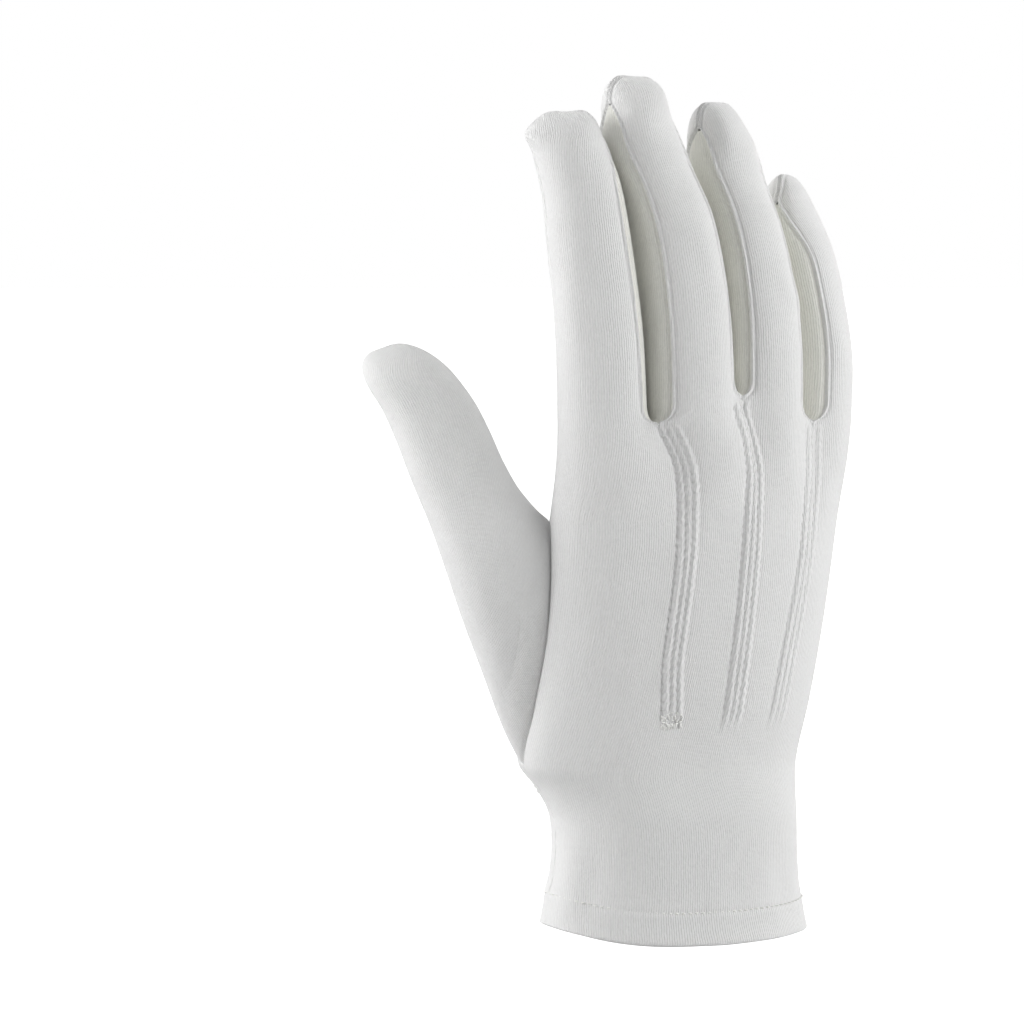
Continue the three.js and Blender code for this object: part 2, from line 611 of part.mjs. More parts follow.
// The elastic lies inside the palm side of the wrist, under the gathers
function elastic() {
  const sheet = new Sheet("wrist_elastic", ELASTIC_WALL);
  const angles = spread(-SIDE * ELASTIC_REACH, SIDE * ELASTIC_REACH, ELASTIC_CELLS);
  const depth = WALL + SEAM_GAP + GATHER_DEPTH;
  const rows = [-0.5, 0, 0.5].map((share) =>
    angles.map((angle) => {
      const z = ELASTIC_HEIGHT + share * ELASTIC_WIDTH;
      const at = handPoint(-1, angle, z);
      const centre = handPoint(-1, 0, z).lerp(handPoint(1, 0, z), 0.5);
      const inward = centre.sub(at).setZ(0).normalize();
      return { at: at.addScaledVector(inward, depth), rise: 0 };
    }),
  );
  return sheet.grid(rows, true);
}

const backRows = handLevels.map((level) => handRow(1, level));
const palmRows = handLevels.map((level) => handRow(-1, level));
const sheets = [
  panel("back_panel", 1),
  panel("palm_panel", -1),
  fourchette(0),
  fourchette(1),
  fourchette(2),
  thumb(backRows, palmRows),
  hemBand(backRows[0], palmRows[0]),
  elastic(),
];
sheets.forEach((sheet) => sheet.prepare());

const glove = new THREE.Group();
const SHADES = { fourchette: 0xf2f1ea, elastic: 0xf6f6f4, cloth: 0xf7f7f5 };
sheets.forEach((sheet) => {
  const kind = Object.keys(SHADES).find((word) => sheet.name.includes(word)) || "cloth";
  glove.add(sheet.mesh(SHADES[kind]));
});

export default glove;
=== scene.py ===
"""White cotton dress glove for a right hand: its cloth, threads, light and camera."""

import math

import bpy
import numpy as np
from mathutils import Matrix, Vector


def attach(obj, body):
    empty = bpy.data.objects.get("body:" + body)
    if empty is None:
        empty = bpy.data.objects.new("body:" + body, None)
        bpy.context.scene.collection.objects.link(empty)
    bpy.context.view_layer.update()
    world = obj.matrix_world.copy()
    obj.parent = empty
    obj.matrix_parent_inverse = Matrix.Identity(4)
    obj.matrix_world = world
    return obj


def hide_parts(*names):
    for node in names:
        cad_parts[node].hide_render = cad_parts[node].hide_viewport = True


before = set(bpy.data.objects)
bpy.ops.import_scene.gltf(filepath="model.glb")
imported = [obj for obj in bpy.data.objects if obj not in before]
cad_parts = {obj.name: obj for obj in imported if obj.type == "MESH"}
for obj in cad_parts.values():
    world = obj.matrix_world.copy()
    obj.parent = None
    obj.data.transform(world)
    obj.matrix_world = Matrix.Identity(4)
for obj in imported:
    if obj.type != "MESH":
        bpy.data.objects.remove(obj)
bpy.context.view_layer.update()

MM = 0.001

# Main sizes in millimetres, as the solids have them
HAND_HEIGHT = 147
HAND_WIDTH = 84
HAND_DEPTH = 42
WALL = 1.2
HEM_HEIGHT = 9
HEM_PROUD = 0.4
RIM_RISE_THUMB_SIDE = 4.5
RIM_RISE_LITTLE_SIDE = 1.5
POINT_RISE = 0.8
POINT_FOOT = 61
CROTCH_ROUND = 5
TIP_ROUND = 16
TIP_CLOSE = 12
FOURCHETTE_END = 8.5
THUMB_LENGTH = 121
THUMB_DEPTH = 28
THUMB_FOOT = 49
THUMB_CROTCH = 116
THUMB_TIP = 0.2
THUMB_ROOT = 0.45
ELASTIC_HEIGHT = 42.5
ELASTIC_WIDTH = 6
ELASTIC_REACH = 0.86
ELASTIC_GAP = 0.3
GATHER_PITCH = 9
GATHER_DEPTH = 1.1

FINGERS = [
    {"name": "index", "length": 88, "width": 24.5, "depth": 23, "bend": 10, "turn": 14},
    {"name": "middle", "length": 92.5, "width": 25, "depth": 25.5, "bend": 15, "turn": 29},
    {"name": "ring", "length": 85, "width": 22.5, "depth": 22, "bend": 16, "turn": 34},
    {"name": "little", "length": 70, "width": 20.5, "depth": 20, "bend": 14, "turn": 60},
]
BASE_ACROSS = [-0.235, 0.042, 0.282, 0.47]
BASE_DEEP = [-0.38, -0.155, 0.135, 0.49]
PARTING_HEIGHTS = [0.96, 0.98, 1.029, 0.978, 0.96]
LAST = len(FINGERS) - 1

# Tables of sections: a key column, then shares of the sizes above
FINGER_PATHS = {
    "along": [0, 0.3, 0.55, 0.78, 1],
    "index": [0, -0.012, -0.04, -0.08, -0.115],
    "middle": [0, -0.012, -0.048, -0.115, -0.155],
    "ring": [0, -0.005, -0.035, -0.1, -0.135],
    "little": [0, 0, -0.022, -0.065, -0.105],
    "bend": [0, 0.12, 0.31, 0.6, 1],
}
FINGER_GIRTHS = {"along": [0, 0.25, 0.5, 0.75, 1], "share": [1, 0.98, 0.95, 0.96, 0.94]}
HAND_SECTIONS = {
    "up": [0, 0.061, 0.136, 0.231, 0.286, 0.337, 0.442, 0.578, 0.714, 0.789, 0.898, 1.03],
    "middle": [0.001, 0, 0.01, 0.007, -0.017, -0.044, -0.015, 0.022, 0.051, 0.064, 0.083, 0.092],
    "reach": [0.468, 0.451, 0.427, 0.425, 0.449, 0.486, 0.505, 0.522, 0.536, 0.543, 0.554, 0.563],
    "back": [0.548, 0.524, 0.5, 0.488, 0.476, 0.476, 0.488, 0.5, 0.512, 0.512, 0.512, 0.512],
    "palm": [0.548, 0.524, 0.5, 0.476, 0.44, 0.452, 0.429, 0.333, 0.238, 0.19, 0.119, 0.095],
    "deep": [0, 0, 0, 0, 0, 0, 0.012, 0.036, 0.071, 0.086, 0.1, 0.11],
    "turn": [20, 20, 20, 20, 21, 22, 24, 27, 29, 30, 31, 32],
}
POINT_LINES = {
    "up": [0, 0.42, 0.54, 0.72, 0.88, 0.94, 1],
    "first": [-6, -10, -14.2, -16.3, -20.4, -25.5, -33],
    "second": [13, 13.4, 11.4, 9, 7, 4.5, 1],
    "third": [37, 37, 35.8, 36.3, 35, 33.5, 32.5],
}
PALM_LINES = {
    "up": [0, 0.6, 1],
    "first": [-38, -34, -20],
    "second": [0, 2, 12],
    "third": [38, 36, 42],
}
LINE_NAMES = ["first", "second", "third"]

# Forms of the palm and folds of the cuff: across, up, wide, tall and rise
PALM_FORMS = [
    (0.55, 0.5, 0.4, 0.24, 0.12),
    (-0.75, 0.5, 0.35, 0.26, 0.1),
    (0, 0.68, 0.35, 0.22, -0.07),
    (0, 0.97, 1.2, 0.1, 0.05),
]
CUFF_FOLDS = [
    (0.62, 0.14, 0.06, 0.12, 0.04),
    (0.5, 0.14, 0.05, 0.12, -0.035),
    (0.06, 0.17, 0.05, 0.08, -0.03),
    (-0.1, 0.15, 0.05, 0.09, 0.03),
    (-0.28, 0.13, 0.06, 0.13, -0.06),
    (-0.4, 0.14, 0.07, 0.13, 0.035),
]
THUMB_SECTIONS = {
    "along": [0, 0.1, 0.2, 0.3, 0.4, 0.5, 0.6, 0.7, 0.8, 1],
    "x": [0.033, 0.003, -0.03, -0.064, -0.098, -0.131, -0.165, -0.2, -0.24, -0.322],
    "z": [0.278, 0.328, 0.394, 0.466, 0.543, 0.625, 0.708, 0.789, 0.857, 0.953],
    "halfX": [0.033, 0.052, 0.066, 0.079, 0.082, 0.083, 0.09, 0.091, 0.089, 0.086],
    "halfZ": [0.278, 0.239, 0.187, 0.136, 0.098, 0.074, 0.053, 0.039, 0.029, 0.03],
    "depth": [0.4, 0.46, 0.5, 0.51, 0.48, 0.44, 0.41, 0.4, 0.39, 0.38],
    "deep": [-0.52, -0.52, -0.51, -0.5, -0.48, -0.46, -0.44, -0.41, -0.37, -0.29],
}

SIDE = 90
FOURCHETTE_EDGE = 48
THUMB_HOLE_BACK = 9
THUMB_HOLE_PALM = 40
HAND_OVAL = 2.2
FINGER_OVAL = 2.25
TIP_OVAL = 2.2
HOLE_OVAL = 0.7
LIP_SHARE = 0.15

# How late a form fades towards a side, or grows towards it
FLANK_POWER = 4

# A fourchette's seam turns to the side after this share, and stops short of it by these degrees
SEAM_TURN = 0.72
SEAM_SHORT = 2.5

# Share of the hand's height, below the thumb's crotch, where its rows start to bend to the fingers
BEND_START = 0.1

# Fineness of the cloth's meshes
EDGE_OFFSETS = [0, 0.2, 0.4, 0.6, 0.85, 1.1, 1.4, 1.7, 2.0, 2.3, 2.6, 2.9, 3.2, 3.6, 4.1, 4.6, 5.2]
EDGE_ROOM = 0.42
LEAST_RADIUS = 0.3
MID_CELLS = [32, 16, 16, 22]
HAND_STEP = 0.5
FINGER_STEP = 1.1
FOOT_ROWS = 13
TIP_ROWS = 20
FOURCHETTE_CELLS = 26
THUMB_SHAFT = 0.85
THUMB_ROWS = 95
THUMB_TIP_ROWS = 22
HEM_ROWS = 26
HEM_STEP_POWER = 1.3
HEM_CURL_ROWS = 11
HEM_INNER_ROWS = 8
ELASTIC_COLUMNS = 160
ELASTIC_ROWS = 7
INSIDE_SKIP = 4

# Steps in a millimetre to which points are rounded for welding, and sizes that count as none
WELDS_PER_MM = 500
TINY = 1e-9
SHORT = 1e-6

# Rounding where the fingers leave the hand
JOIN_ROUND = 2.6
JOIN_REACH = 7
JOIN_WINDOW = 2.5
SEAM_CLEAR = 3

# A seam: its rolled edge, the stitched groove behind it, and how wide each cloth dives into it
SEAM_ROLL = 0.42
SEAM_SINK = 0.5
ROLL_AT = 0.7
ROLL_WIDTH = 0.38
GROOVE_SHARE = 0.75
GROOVE_AT = 1.55
GROOVE_WIDTH = 0.4
ROLLED_DIVE = 0.32
PLAIN_DIVE = 0.3
FOURCHETTE_DIVE = 1.0
CROTCH_ROUNDING = 1.3
TIP_FADE = 2.5
HEM_GROOVE = 0.2
HEM_GROOVE_WIDTH = 0.7

# A raised point: its cords, the grooves beside them, and the holes that its stitches draw in
CORD_PITCH = 2.1
CORD_WIDTH = 0.85
CORD_SWAY = 0.2
STITCH_PITCH = 2.5
STITCH_HOLE = 0.2
STITCH_PINCH = 0.35
VALLEY_DEPTH = 0.45
VALLEY_WIDTH = 0.4
POINT_END = 4
POINT_TOP_GAP = 0.6
POINT_TOP_FADE = 2
POINT_SIDES = [(-3.25, 0.4), (3.25, 0.2)]
POINT_SIDE_WIDTH = 0.6

# The thumb lies a little flatter beside its seam: turn and place along it, and their reach
THUMB_FLUSH = 1.5
FLUSH_TURN = 122
FLUSH_TURN_REACH = 60
FLUSH_ALONG = 0.2
FLUSH_ALONG_REACH = 0.26
FLUSH_START = 14

CUFF_FLARE = 1.8
FLARE_TOP = 15
FLARE_POWER = 1.5

# Slow waves of the cloth: scale, rise and first seed
PANEL_WAVES = (15, 0.3, 5)
FOURCHETTE_WAVES = (9, 0.25, 40)
THUMB_WAVES = (14, 0.35, 77)
WAVE_COUNT = 7
WAVE_STRETCH = [1.0, 1.0, 0.55]

# Each point: how far it lies to the little side of its panel line low and high, its strength,
# and how far below its foot it fades
POINT_PLACES = [(0.9, 2.1, 1.0, 0), (-0.2, -0.9, 0.85, 4), (0, 0, 0.6, 4)]

# Fingertips drawn out or in by their seams: finger, centre across and up, reach and shift
TIP_SHAPES = [
    (0, -37.6, 223.6, 3.4, (-2.6, 0, -0.6)),
    (0, -35.0, 208.0, 12.0, (1.6, 0, 0)),
    (0, -30.0, 230.5, 6.0, (0.4, 0, -1.2)),
    (0, -19.5, 220.0, 8.0, (-2.0, 0, 0)),
    (1, -19.5, 218.0, 8.0, (-1.4, 0, 0)),
    (1, -17.5, 227.0, 8.0, (1.9, 0, 0)),
    (1, -8.0, 238.0, 8.0, (0, 0, -0.8)),
    (1, 2.5, 229.0, 9.0, (-3.4, 0, -0.4)),
    (1, 6.0, 215.0, 11.0, (-1.8, 0, 0)),
    (2, 9.0, 223.5, 8.0, (2.8, 0, 0.2)),
    (2, 24.0, 228.0, 7.5, (-1.7, 0, -0.4)),
    (2, 30.0, 214.0, 9.0, (-1.0, 0, 0)),
    (3, 27.5, 209.0, 6.0, (2.4, 0, 0.2)),
    (3, 41.5, 204.0, 9.0, (-2.4, 0, -0.2)),
]

# The fuller side of the little finger: centre across and up, reach and shift
SIDE_SHAPE = (49.0, 160.0, 28.0, (1.8, 0, 0))

# Soft folds of the back: across, up, half width, half height, lean and rise
BACK_FOLDS = [
    (-10.0, 38.0, 11.0, 26.0, 0.0, 1.6),
    (-19.0, 105.0, 10.0, 40.0, 0.05, 1.4),
    (-28.0, 114.0, 7.0, 17.0, 0.0, 0.8),
    (-29.0, 17.0, 3.5, 9.0, 0.12, 0.5),
    (-22.0, 16.0, 3.5, 9.0, 0.12, -0.45),
    (12.0, 12.0, 4.0, 10.0, -0.1, 0.4),
    (31.0, 15.0, 3.0, 11.0, -0.15, -0.5),
    (2.0, 145.5, 0.7, 2.6, 1.1, 0.35),
    (4.0, 143.2, 0.7, 2.6, 1.2, -0.3),
    (-22.0, 52.0, 9.0, 8.0, 0.4, 0.3),
    (18.0, 140.0, 3.0, 8.0, 0.2, 0.5),
    (-6.0, 150.0, 2.0, 9.0, 0.25, -0.5),
    (-28.0, 180.0, 3.5, 12.0, 0.1, 0.4),
    (-12.0, 205.0, 3.0, 7.0, -0.5, -0.5),
    (9.0, 190.0, 2.5, 8.0, -0.3, 0.4),
    (33.0, 178.0, 2.0, 6.0, -0.4, 0.5),
    (46.0, 165.0, 2.5, 9.0, -0.2, 0.4),
]


def ease(t):
    t = np.clip(t, 0, 1)
    return t * t * (3 - 2 * t)


def mix(a, b, t):
    return a + (b - a) * t


def bell(distance, width):
    return np.exp(-((distance / width) ** 2))


def level_unit(vectors):
    """The level directions of vectors, each of length 1."""
    level = vectors * [1, 1, 0]
    return level / np.linalg.norm(level, axis=-1, keepdims=True)


def curve(table, key, column, at):
    """A smooth curve through one column of a table, read at values of its key column."""
    keys = np.array(table[key], float)
    values = np.array(table[column], float)
    last = len(keys) - 1
    at = np.asarray(at, float)
    i = np.clip(np.searchsorted(keys, at, side="left") - 1, 0, last - 1)
    step = keys[i + 1] - keys[i]
    t = np.clip((at - keys[i]) / step, 0, 1)
    before = np.maximum(i - 1, 0)
    after = np.minimum(i + 2, last)
    start_slope = (values[i + 1] - values[before]) / (keys[i + 1] - keys[before])
    end_slope = (values[after] - values[i]) / (keys[after] - keys[i])
    start = values[i] * (1 + 2 * t) * (1 - t) ** 2 + start_slope * step * t * (1 - t) ** 2
    end = values[i + 1] * t * t * (3 - 2 * t) + end_slope * step * t * t * (t - 1)
    return start + end


def oval_sin(angle, power):
    s = np.sin(np.radians(angle))
    return np.sign(s) * np.abs(s) ** (2 / power)


def oval_cos(angle, power):
    c = np.cos(np.radians(angle))
    c = np.where(np.abs(c) < TINY, 0, c)
    return np.sign(c) * np.abs(c) ** (2 / power)


def oval_point(x, y, wide, deep, turn, z):
    turn = np.radians(turn)
    px = x + wide * np.cos(turn) + deep * np.sin(turn)
    py = y + wide * np.sin(turn) - deep * np.cos(turn)
    return np.stack(np.broadcast_arrays(px, py, z), axis=-1)


def gathers(angle, z):
    """The puckers above and below the elastic, and the groove that it draws."""
    wave = np.cos(2 * np.pi * HAND_WIDTH / 2 * np.radians(angle) / GATHER_PITCH)
    away = (z - ELASTIC_HEIGHT) / ELASTIC_WIDTH
    edge = np.cos(np.radians(angle)) ** 2
    puckers = wave * away * away * np.exp(1 - away * away)
    return GATHER_DEPTH * edge * (puckers - np.exp(-away * away * 2))


def hand_point(side, angle, z):
    """A point of the hand's cloth: side 1 is the back, and side -1 the palm."""
    up = z / HAND_HEIGHT

    def read(column):
        return curve(HAND_SECTIONS, "up", column, up)

    wide = read("reach") * HAND_WIDTH * oval_sin(angle, HAND_OVAL)
    deep = read("back" if side > 0 else "palm") * HAND_DEPTH * oval_cos(angle, HAND_OVAL)
    if side < 0:
        across = angle / SIDE
        rise = 0
        for at, level, width, tall, height in PALM_FORMS + CUFF_FOLDS:
            away = ((across - at) / width) ** 2 + ((up - level) / tall) ** 2
            rise = rise + height * np.exp(-away)
        deep = deep + rise * HAND_DEPTH * (1 - across**FLANK_POWER) + gathers(angle, z)
    x = read("middle") * HAND_WIDTH
    y = read("deep") * HAND_DEPTH
    return oval_point(x, y, wide, side * deep, read("turn"), z)


def rim_height(angle):
    s = np.sin(np.radians(angle))
    return np.where(s < 0, RIM_RISE_THUMB_SIDE, RIM_RISE_LITTLE_SIDE) * s * s


def narrowing(to_tip):
    t = np.clip(1 - to_tip / TIP_ROUND, 0, 1)
    return LIP_SHARE + (1 - LIP_SHARE) * (1 - t**TIP_OVAL) ** (1 / TIP_OVAL)


def closing(to_tip):
    t = np.clip(1 - to_tip / TIP_CLOSE, 0, 1)
    return np.sqrt(1 - t * t)


def side_share(f, angle):
    turned = np.where(np.abs(angle) > SIDE, np.sign(angle) * 2 * SIDE - angle, angle)
    start = -SIDE if f == 0 else -FOURCHETTE_EDGE
    end = SIDE if f == LAST else FOURCHETTE_EDGE
    return np.clip((turned - start) / (end - start), 0, 1)


def tube_point(f, angle, along):
    finger = FINGERS[f]
    length = finger["length"]
    left = PARTING_HEIGHTS[f] * HAND_HEIGHT
    right = PARTING_HEIGHTS[f + 1] * HAND_HEIGHT
    start = mix(left, right, side_share(f, angle))
    tip = (left + right) / 2 + length
    x = BASE_ACROSS[f] * HAND_WIDTH + curve(FINGER_PATHS, "along", finger["name"], along) * length
    y = BASE_DEEP[f] * HAND_DEPTH + curve(FINGER_PATHS, "along", "bend", along) * finger["bend"]
    girth = curve(FINGER_GIRTHS, "along", "share", along) / 2
    to_tip = (1 - along) * length
    wide = finger["width"] * girth * narrowing(to_tip) * oval_sin(angle, FINGER_OVAL)
    deep = finger["depth"] * girth * closing(to_tip) * oval_cos(angle, FINGER_OVAL)
    return oval_point(x, y, wide, deep, finger["turn"], mix(start, tip, along))


def parting_point(f, angle):
    return (tube_point(f, angle, 0.0) + tube_point(f + 1, -angle, 0.0)) / 2


def drawn(points, x, z, reach, move):
    """How far a place on the cloth that is drawn out or in moves the points around it."""
    away = ((points[..., 0] - x) ** 2 + (points[..., 2] - z) ** 2) / reach**2
    return np.exp(-away)[..., None] * np.array(move)


def finger_point(f, angle, along):
    """A finger's cloth: its tube, drawn at its foot to the round bottom between two fingers."""
    angle, along = np.broadcast_arrays(np.asarray(angle, float), np.asarray(along, float))
    point = tube_point(f, angle, along)
    height = np.clip(along * FINGERS[f]["length"] / CROTCH_ROUND, 0, 1)
    pull = 1 - np.sqrt(1 - (1 - height) ** 2)
    size = np.abs(angle)
    turned = np.where(size > SIDE, 2 * SIDE - size, size)
    share = np.minimum(turned / FOURCHETTE_EDGE, 1) ** FLANK_POWER
    edge = np.where(size > SIDE, 2 * SIDE - FOURCHETTE_EDGE, FOURCHETTE_EDGE)
    at = np.where(turned < FOURCHETTE_EDGE, edge, size)
    for sign, between in ((1, f), (-1, f - 1)):
        if between < 0 or between == LAST:
            continue
        shift = parting_point(between, at) - tube_point(f, sign * at, np.zeros_like(at))
        mine = (angle > 0) if sign > 0 else (angle <= 0)
        point = point + shift * (pull * share * mine)[..., None]
    for finger, *shape in TIP_SHAPES:
        if finger == f:
            point = point + drawn(point, *shape)
    return point


def seam_angle(f, along):
    """The angle of a finger's seam with its fourchette, and of its side seam above it."""
    end = 1 - FOURCHETTE_END / FINGERS[f]["length"]
    t = np.clip((along - SEAM_TURN * end) / ((1 - SEAM_TURN) * end), 0, 1)
    return np.where(along > end + TINY, SIDE, mix(FOURCHETTE_EDGE, SIDE - SEAM_SHORT, t * t))


def finger_steps(f):
    """Rows up a finger: close in the crotch, even along the shaft, and even over the tip."""
    length = FINGERS[f]["length"]
    foot = CROTCH_ROUND * (1 - np.cos(np.radians(np.linspace(0, 90, FOOT_ROWS))))
    end = length - FOURCHETTE_END
    cells = int((end - CROTCH_ROUND) / FINGER_STEP)
    shaft = np.linspace(CROTCH_ROUND, end, cells + 1)[1:]
    turn = math.degrees(math.acos(1 - FOURCHETTE_END / TIP_CLOSE))
    tip = length - TIP_CLOSE * (1 - np.cos(np.radians(np.linspace(turn, 0, TIP_ROWS)[1:])))
    along = np.concatenate([foot, shaft, tip]) / length
    return along, len(foot) + len(shaft) - 1


def hole_reach(side, z):
    t = np.clip((z - THUMB_FOOT) / (THUMB_CROTCH - THUMB_FOOT), 0, 1)
    t = np.where((t < SHORT) | (t > 1 - SHORT), 0, t)
    return (THUMB_HOLE_BACK if side > 0 else THUMB_HOLE_PALM) * np.sin(np.pi * t) ** HOLE_OVAL


def strip_angles(f, start, end, radius):
    """Angles across a strip: set distances from both borders, then even steps between them."""
    offsets = np.degrees(np.array(EDGE_OFFSETS) / np.asarray(radius)[..., None])
    room = (np.asarray(end) - np.asarray(start))[..., None]
    offsets = np.minimum(offsets, offsets / offsets[..., -1:] * room * EDGE_ROOM)
    low = np.asarray(start)[..., None] + offsets
    high = np.asarray(end)[..., None] - offsets[..., ::-1]
    t = np.linspace(0, 1, MID_CELLS[f] + 1)[1:-1]
    middle = low[..., -1:] + (high[..., :1] - low[..., -1:]) * t
    return np.concatenate([low, middle, high], axis=-1)


def hand_strip_angles(side, f, z):
    z = np.asarray(z, float)
    up = np.minimum(z / HAND_HEIGHT, 1)
    lines = POINT_LINES if side > 0 else PALM_LINES
    start = -SIDE + hole_reach(side, z) if f == 0 else curve(lines, "up", LINE_NAMES[f - 1], up)
    end = np.full_like(z, SIDE) if f == LAST else curve(lines, "up", LINE_NAMES[f], up)
    radius = curve(HAND_SECTIONS, "up", "reach", up) * HAND_WIDTH
    return strip_angles(f, start, end, radius)


def finger_strip_angles(f, along):
    edge = seam_angle(f, along)
    start = np.full_like(edge, -SIDE) if f == 0 else -edge
    end = np.full_like(edge, SIDE) if f == LAST else edge
    share = narrowing((1 - along) * FINGERS[f]["length"])
    radius = FINGERS[f]["width"] / 2 * np.maximum(share, LEAST_RADIUS)
    return strip_angles(f, start, end, radius)


def round_to(side, angle):
    return angle if side > 0 else np.where(angle < 0, -1, 1) * 2 * SIDE - angle


# Levels of the hand's rows: 0 on the hem, 1 where the fingers part
SIDE_LOW = float(rim_height(-SIDE)) + HEM_HEIGHT
SIDE_HIGH = PARTING_HEIGHTS[0] * HAND_HEIGHT
FOOT_LEVEL = (THUMB_FOOT - SIDE_LOW) / (SIDE_HIGH - SIDE_LOW)
CROTCH_LEVEL = (THUMB_CROTCH - SIDE_LOW) / (SIDE_HIGH - SIDE_LOW)


def hand_levels():
    parts = (FOOT_LEVEL, CROTCH_LEVEL - FOOT_LEVEL, 1 - CROTCH_LEVEL)
    rows = [int(part * HAND_HEIGHT / HAND_STEP) for part in parts]
    low = np.linspace(0, FOOT_LEVEL, rows[0])
    hole = np.linspace(FOOT_LEVEL, CROTCH_LEVEL, rows[1])[1:]
    high = np.linspace(CROTCH_LEVEL, 1, rows[2])[1:]
    return np.concatenate([low, hole, high]), len(low) - 1, len(low) + len(hole) - 1


LEVELS, FOOT_ROW, CROTCH_ROW = hand_levels()


def hand_strip(side, f):
    """The hand part of a panel under one finger, blended into the finger's foot."""
    tops = finger_strip_angles(f, np.zeros(1))[0]
    foot = finger_point(f, round_to(side, tops), np.zeros_like(tops))
    low = rim_height(hand_strip_angles(side, f, np.zeros(1))[0]) + HEM_HEIGHT
    level = LEVELS[:, None]
    z = mix(low[None, :], foot[None, :, 2], level)
    angles = column_angles(side, f, z)
    crown_angles = column_angles(side, f, foot[None, :, 2])
    point = hand_point(side, angles, z)
    crown = hand_point(side, crown_angles, foot[None, :, 2])
    weight = ease((level - CROTCH_LEVEL + BEND_START) / (1 + BEND_START - CROTCH_LEVEL))
    return point + (foot[None] - crown) * weight[..., None]


def column_angles(side, f, z):
    """The angle of each column where it crosses its own height."""
    rows = hand_strip_angles(side, f, z)
    index = np.arange(z.shape[1])
    return rows[:, index, index]


def finger_strip(side, f):
    along, _ = finger_steps(f)
    angles = finger_strip_angles(f, along)
    return finger_point(f, round_to(side, angles), along[:, None])


class Cloth:
    """A surface of quads whose points are shared wherever two grids meet."""

    def __init__(self, name, node, slot):
        self.name = name
        self.node = node
        self.slot = slot
        self.grids = []

    def add(self, points, relief=None, flipped=False, wraps=False, places=None):
        relief = np.zeros(points.shape[:2]) if relief is None else relief
        places = cloth_places(points, points.shape[1] // 2) if places is None else places
        grid = {"points": shaped(points), "relief": relief, "places": places}
        self.grids.append({**grid, "flipped": flipped, "wraps": wraps})

    def weld(self, skip=1):
        points, relief, cloth, quads, start = [], [], [], [], 0
        for grid in self.grids:
            rows = picks(grid["points"].shape[0], skip)
            columns = picks(grid["points"].shape[1], skip)
            p = grid["points"][np.ix_(rows, columns)]
            ids = start + np.arange(p.shape[0] * p.shape[1]).reshape(p.shape[:2])
            if grid["wraps"]:
                ids = np.concatenate([ids, ids[:, :1]], axis=1)
            corner = [ids[:-1, :-1], ids[:-1, 1:], ids[1:, 1:], ids[1:, :-1]]
            if grid["flipped"]:
                corner.reverse()
            quads.append(np.stack([c.ravel() for c in corner], axis=-1))
            points.append(p.reshape(-1, 3))
            relief.append(grid["relief"][np.ix_(rows, columns)].ravel())
            cloth.append(grid["places"][np.ix_(rows, columns)].reshape(-1, 2))
            start += p.shape[0] * p.shape[1]
        points = np.concatenate(points)
        keys = np.round(points * WELDS_PER_MM).astype(np.int64)
        _, first, inverse = np.unique(keys, axis=0, return_index=True, return_inverse=True)
        quads = inverse.ravel()[np.concatenate(quads)]
        return {
            "points": points[first],
            "relief": np.concatenate(relief)[first],
            "cloth": np.concatenate(cloth)[first],
            "quads": quads,
            "keys": keys[first],
        }


def shaped(points):
    """The points with the little finger's side filled out and the cuff flared."""
    outward = points * [1, 1, 0]
    outward = outward / np.maximum(np.linalg.norm(outward, axis=-1, keepdims=True), 1)
    low = np.clip((FLARE_TOP - points[..., 2]) / FLARE_TOP, 0, 1)
    flare = outward * (CUFF_FLARE * low**FLARE_POWER)[..., None]
    return points + drawn(points, *SIDE_SHAPE) + flare


def picks(count, skip):
    rows = np.arange(0, count, skip)
    return rows if rows[-1] == count - 1 else np.append(rows, count - 1)


def cloth_places(points, middle):
    """Where each point lies on the flat cloth: across from a middle column, and up."""
    across = side_distance(points, 0)
    across = across - across[:, middle : middle + 1]
    return np.stack([across, points[..., 2]], axis=-1)


def vertex_normals(mesh):
    p = mesh["points"][mesh["quads"]]
    face = np.cross(p[:, 2] - p[:, 0], p[:, 3] - p[:, 1])
    normals = np.zeros_like(mesh["points"])
    for corner in range(4):
        np.add.at(normals, mesh["quads"][:, corner], face)
    return normals / np.maximum(np.linalg.norm(normals, axis=1, keepdims=True), TINY)


def border_points(quads, count):
    edges = np.concatenate([quads[:, [i, (i + 1) % 4]] for i in range(4)])
    edges = edges[edges[:, 0] != edges[:, 1]]
    code = np.sort(edges, axis=1)
    code = code[:, 0] * count + code[:, 1]
    _, index, uses = np.unique(code, return_index=True, return_counts=True)
    return np.unique(edges[index[uses == 1]])


def share_seam_normals(meshes):
    """Where two pieces are sewn together, both take the mean of their directions."""
    sums = {}
    for mesh in meshes:
        mesh["normals"] = vertex_normals(mesh)
        mesh["border"] = border_points(mesh["quads"], len(mesh["points"]))
        for i in mesh["border"]:
            key = tuple(mesh["keys"][i])
            sums[key] = sums.get(key, 0) + mesh["normals"][i]
    for mesh in meshes:
        for i in mesh["border"]:
            total = sums[tuple(mesh["keys"][i])]
            mesh["normals"][i] = total / max(np.linalg.norm(total), TINY)


def roll(relief, distance):
    """A thin rolled edge along a seam, with the stitched groove behind it."""
    relief = relief + SEAM_ROLL * bell(distance - ROLL_AT, ROLL_WIDTH)
    relief = relief - GROOVE_SHARE * SEAM_ROLL * bell(distance - GROOVE_AT, GROOVE_WIDTH)
    return dive(relief, distance, ROLLED_DIVE)


def dive(relief, distance, width):
    """Every piece reaches the same depth in a seam, so that their borders meet."""
    return mix(relief, -SEAM_SINK, bell(distance, width))


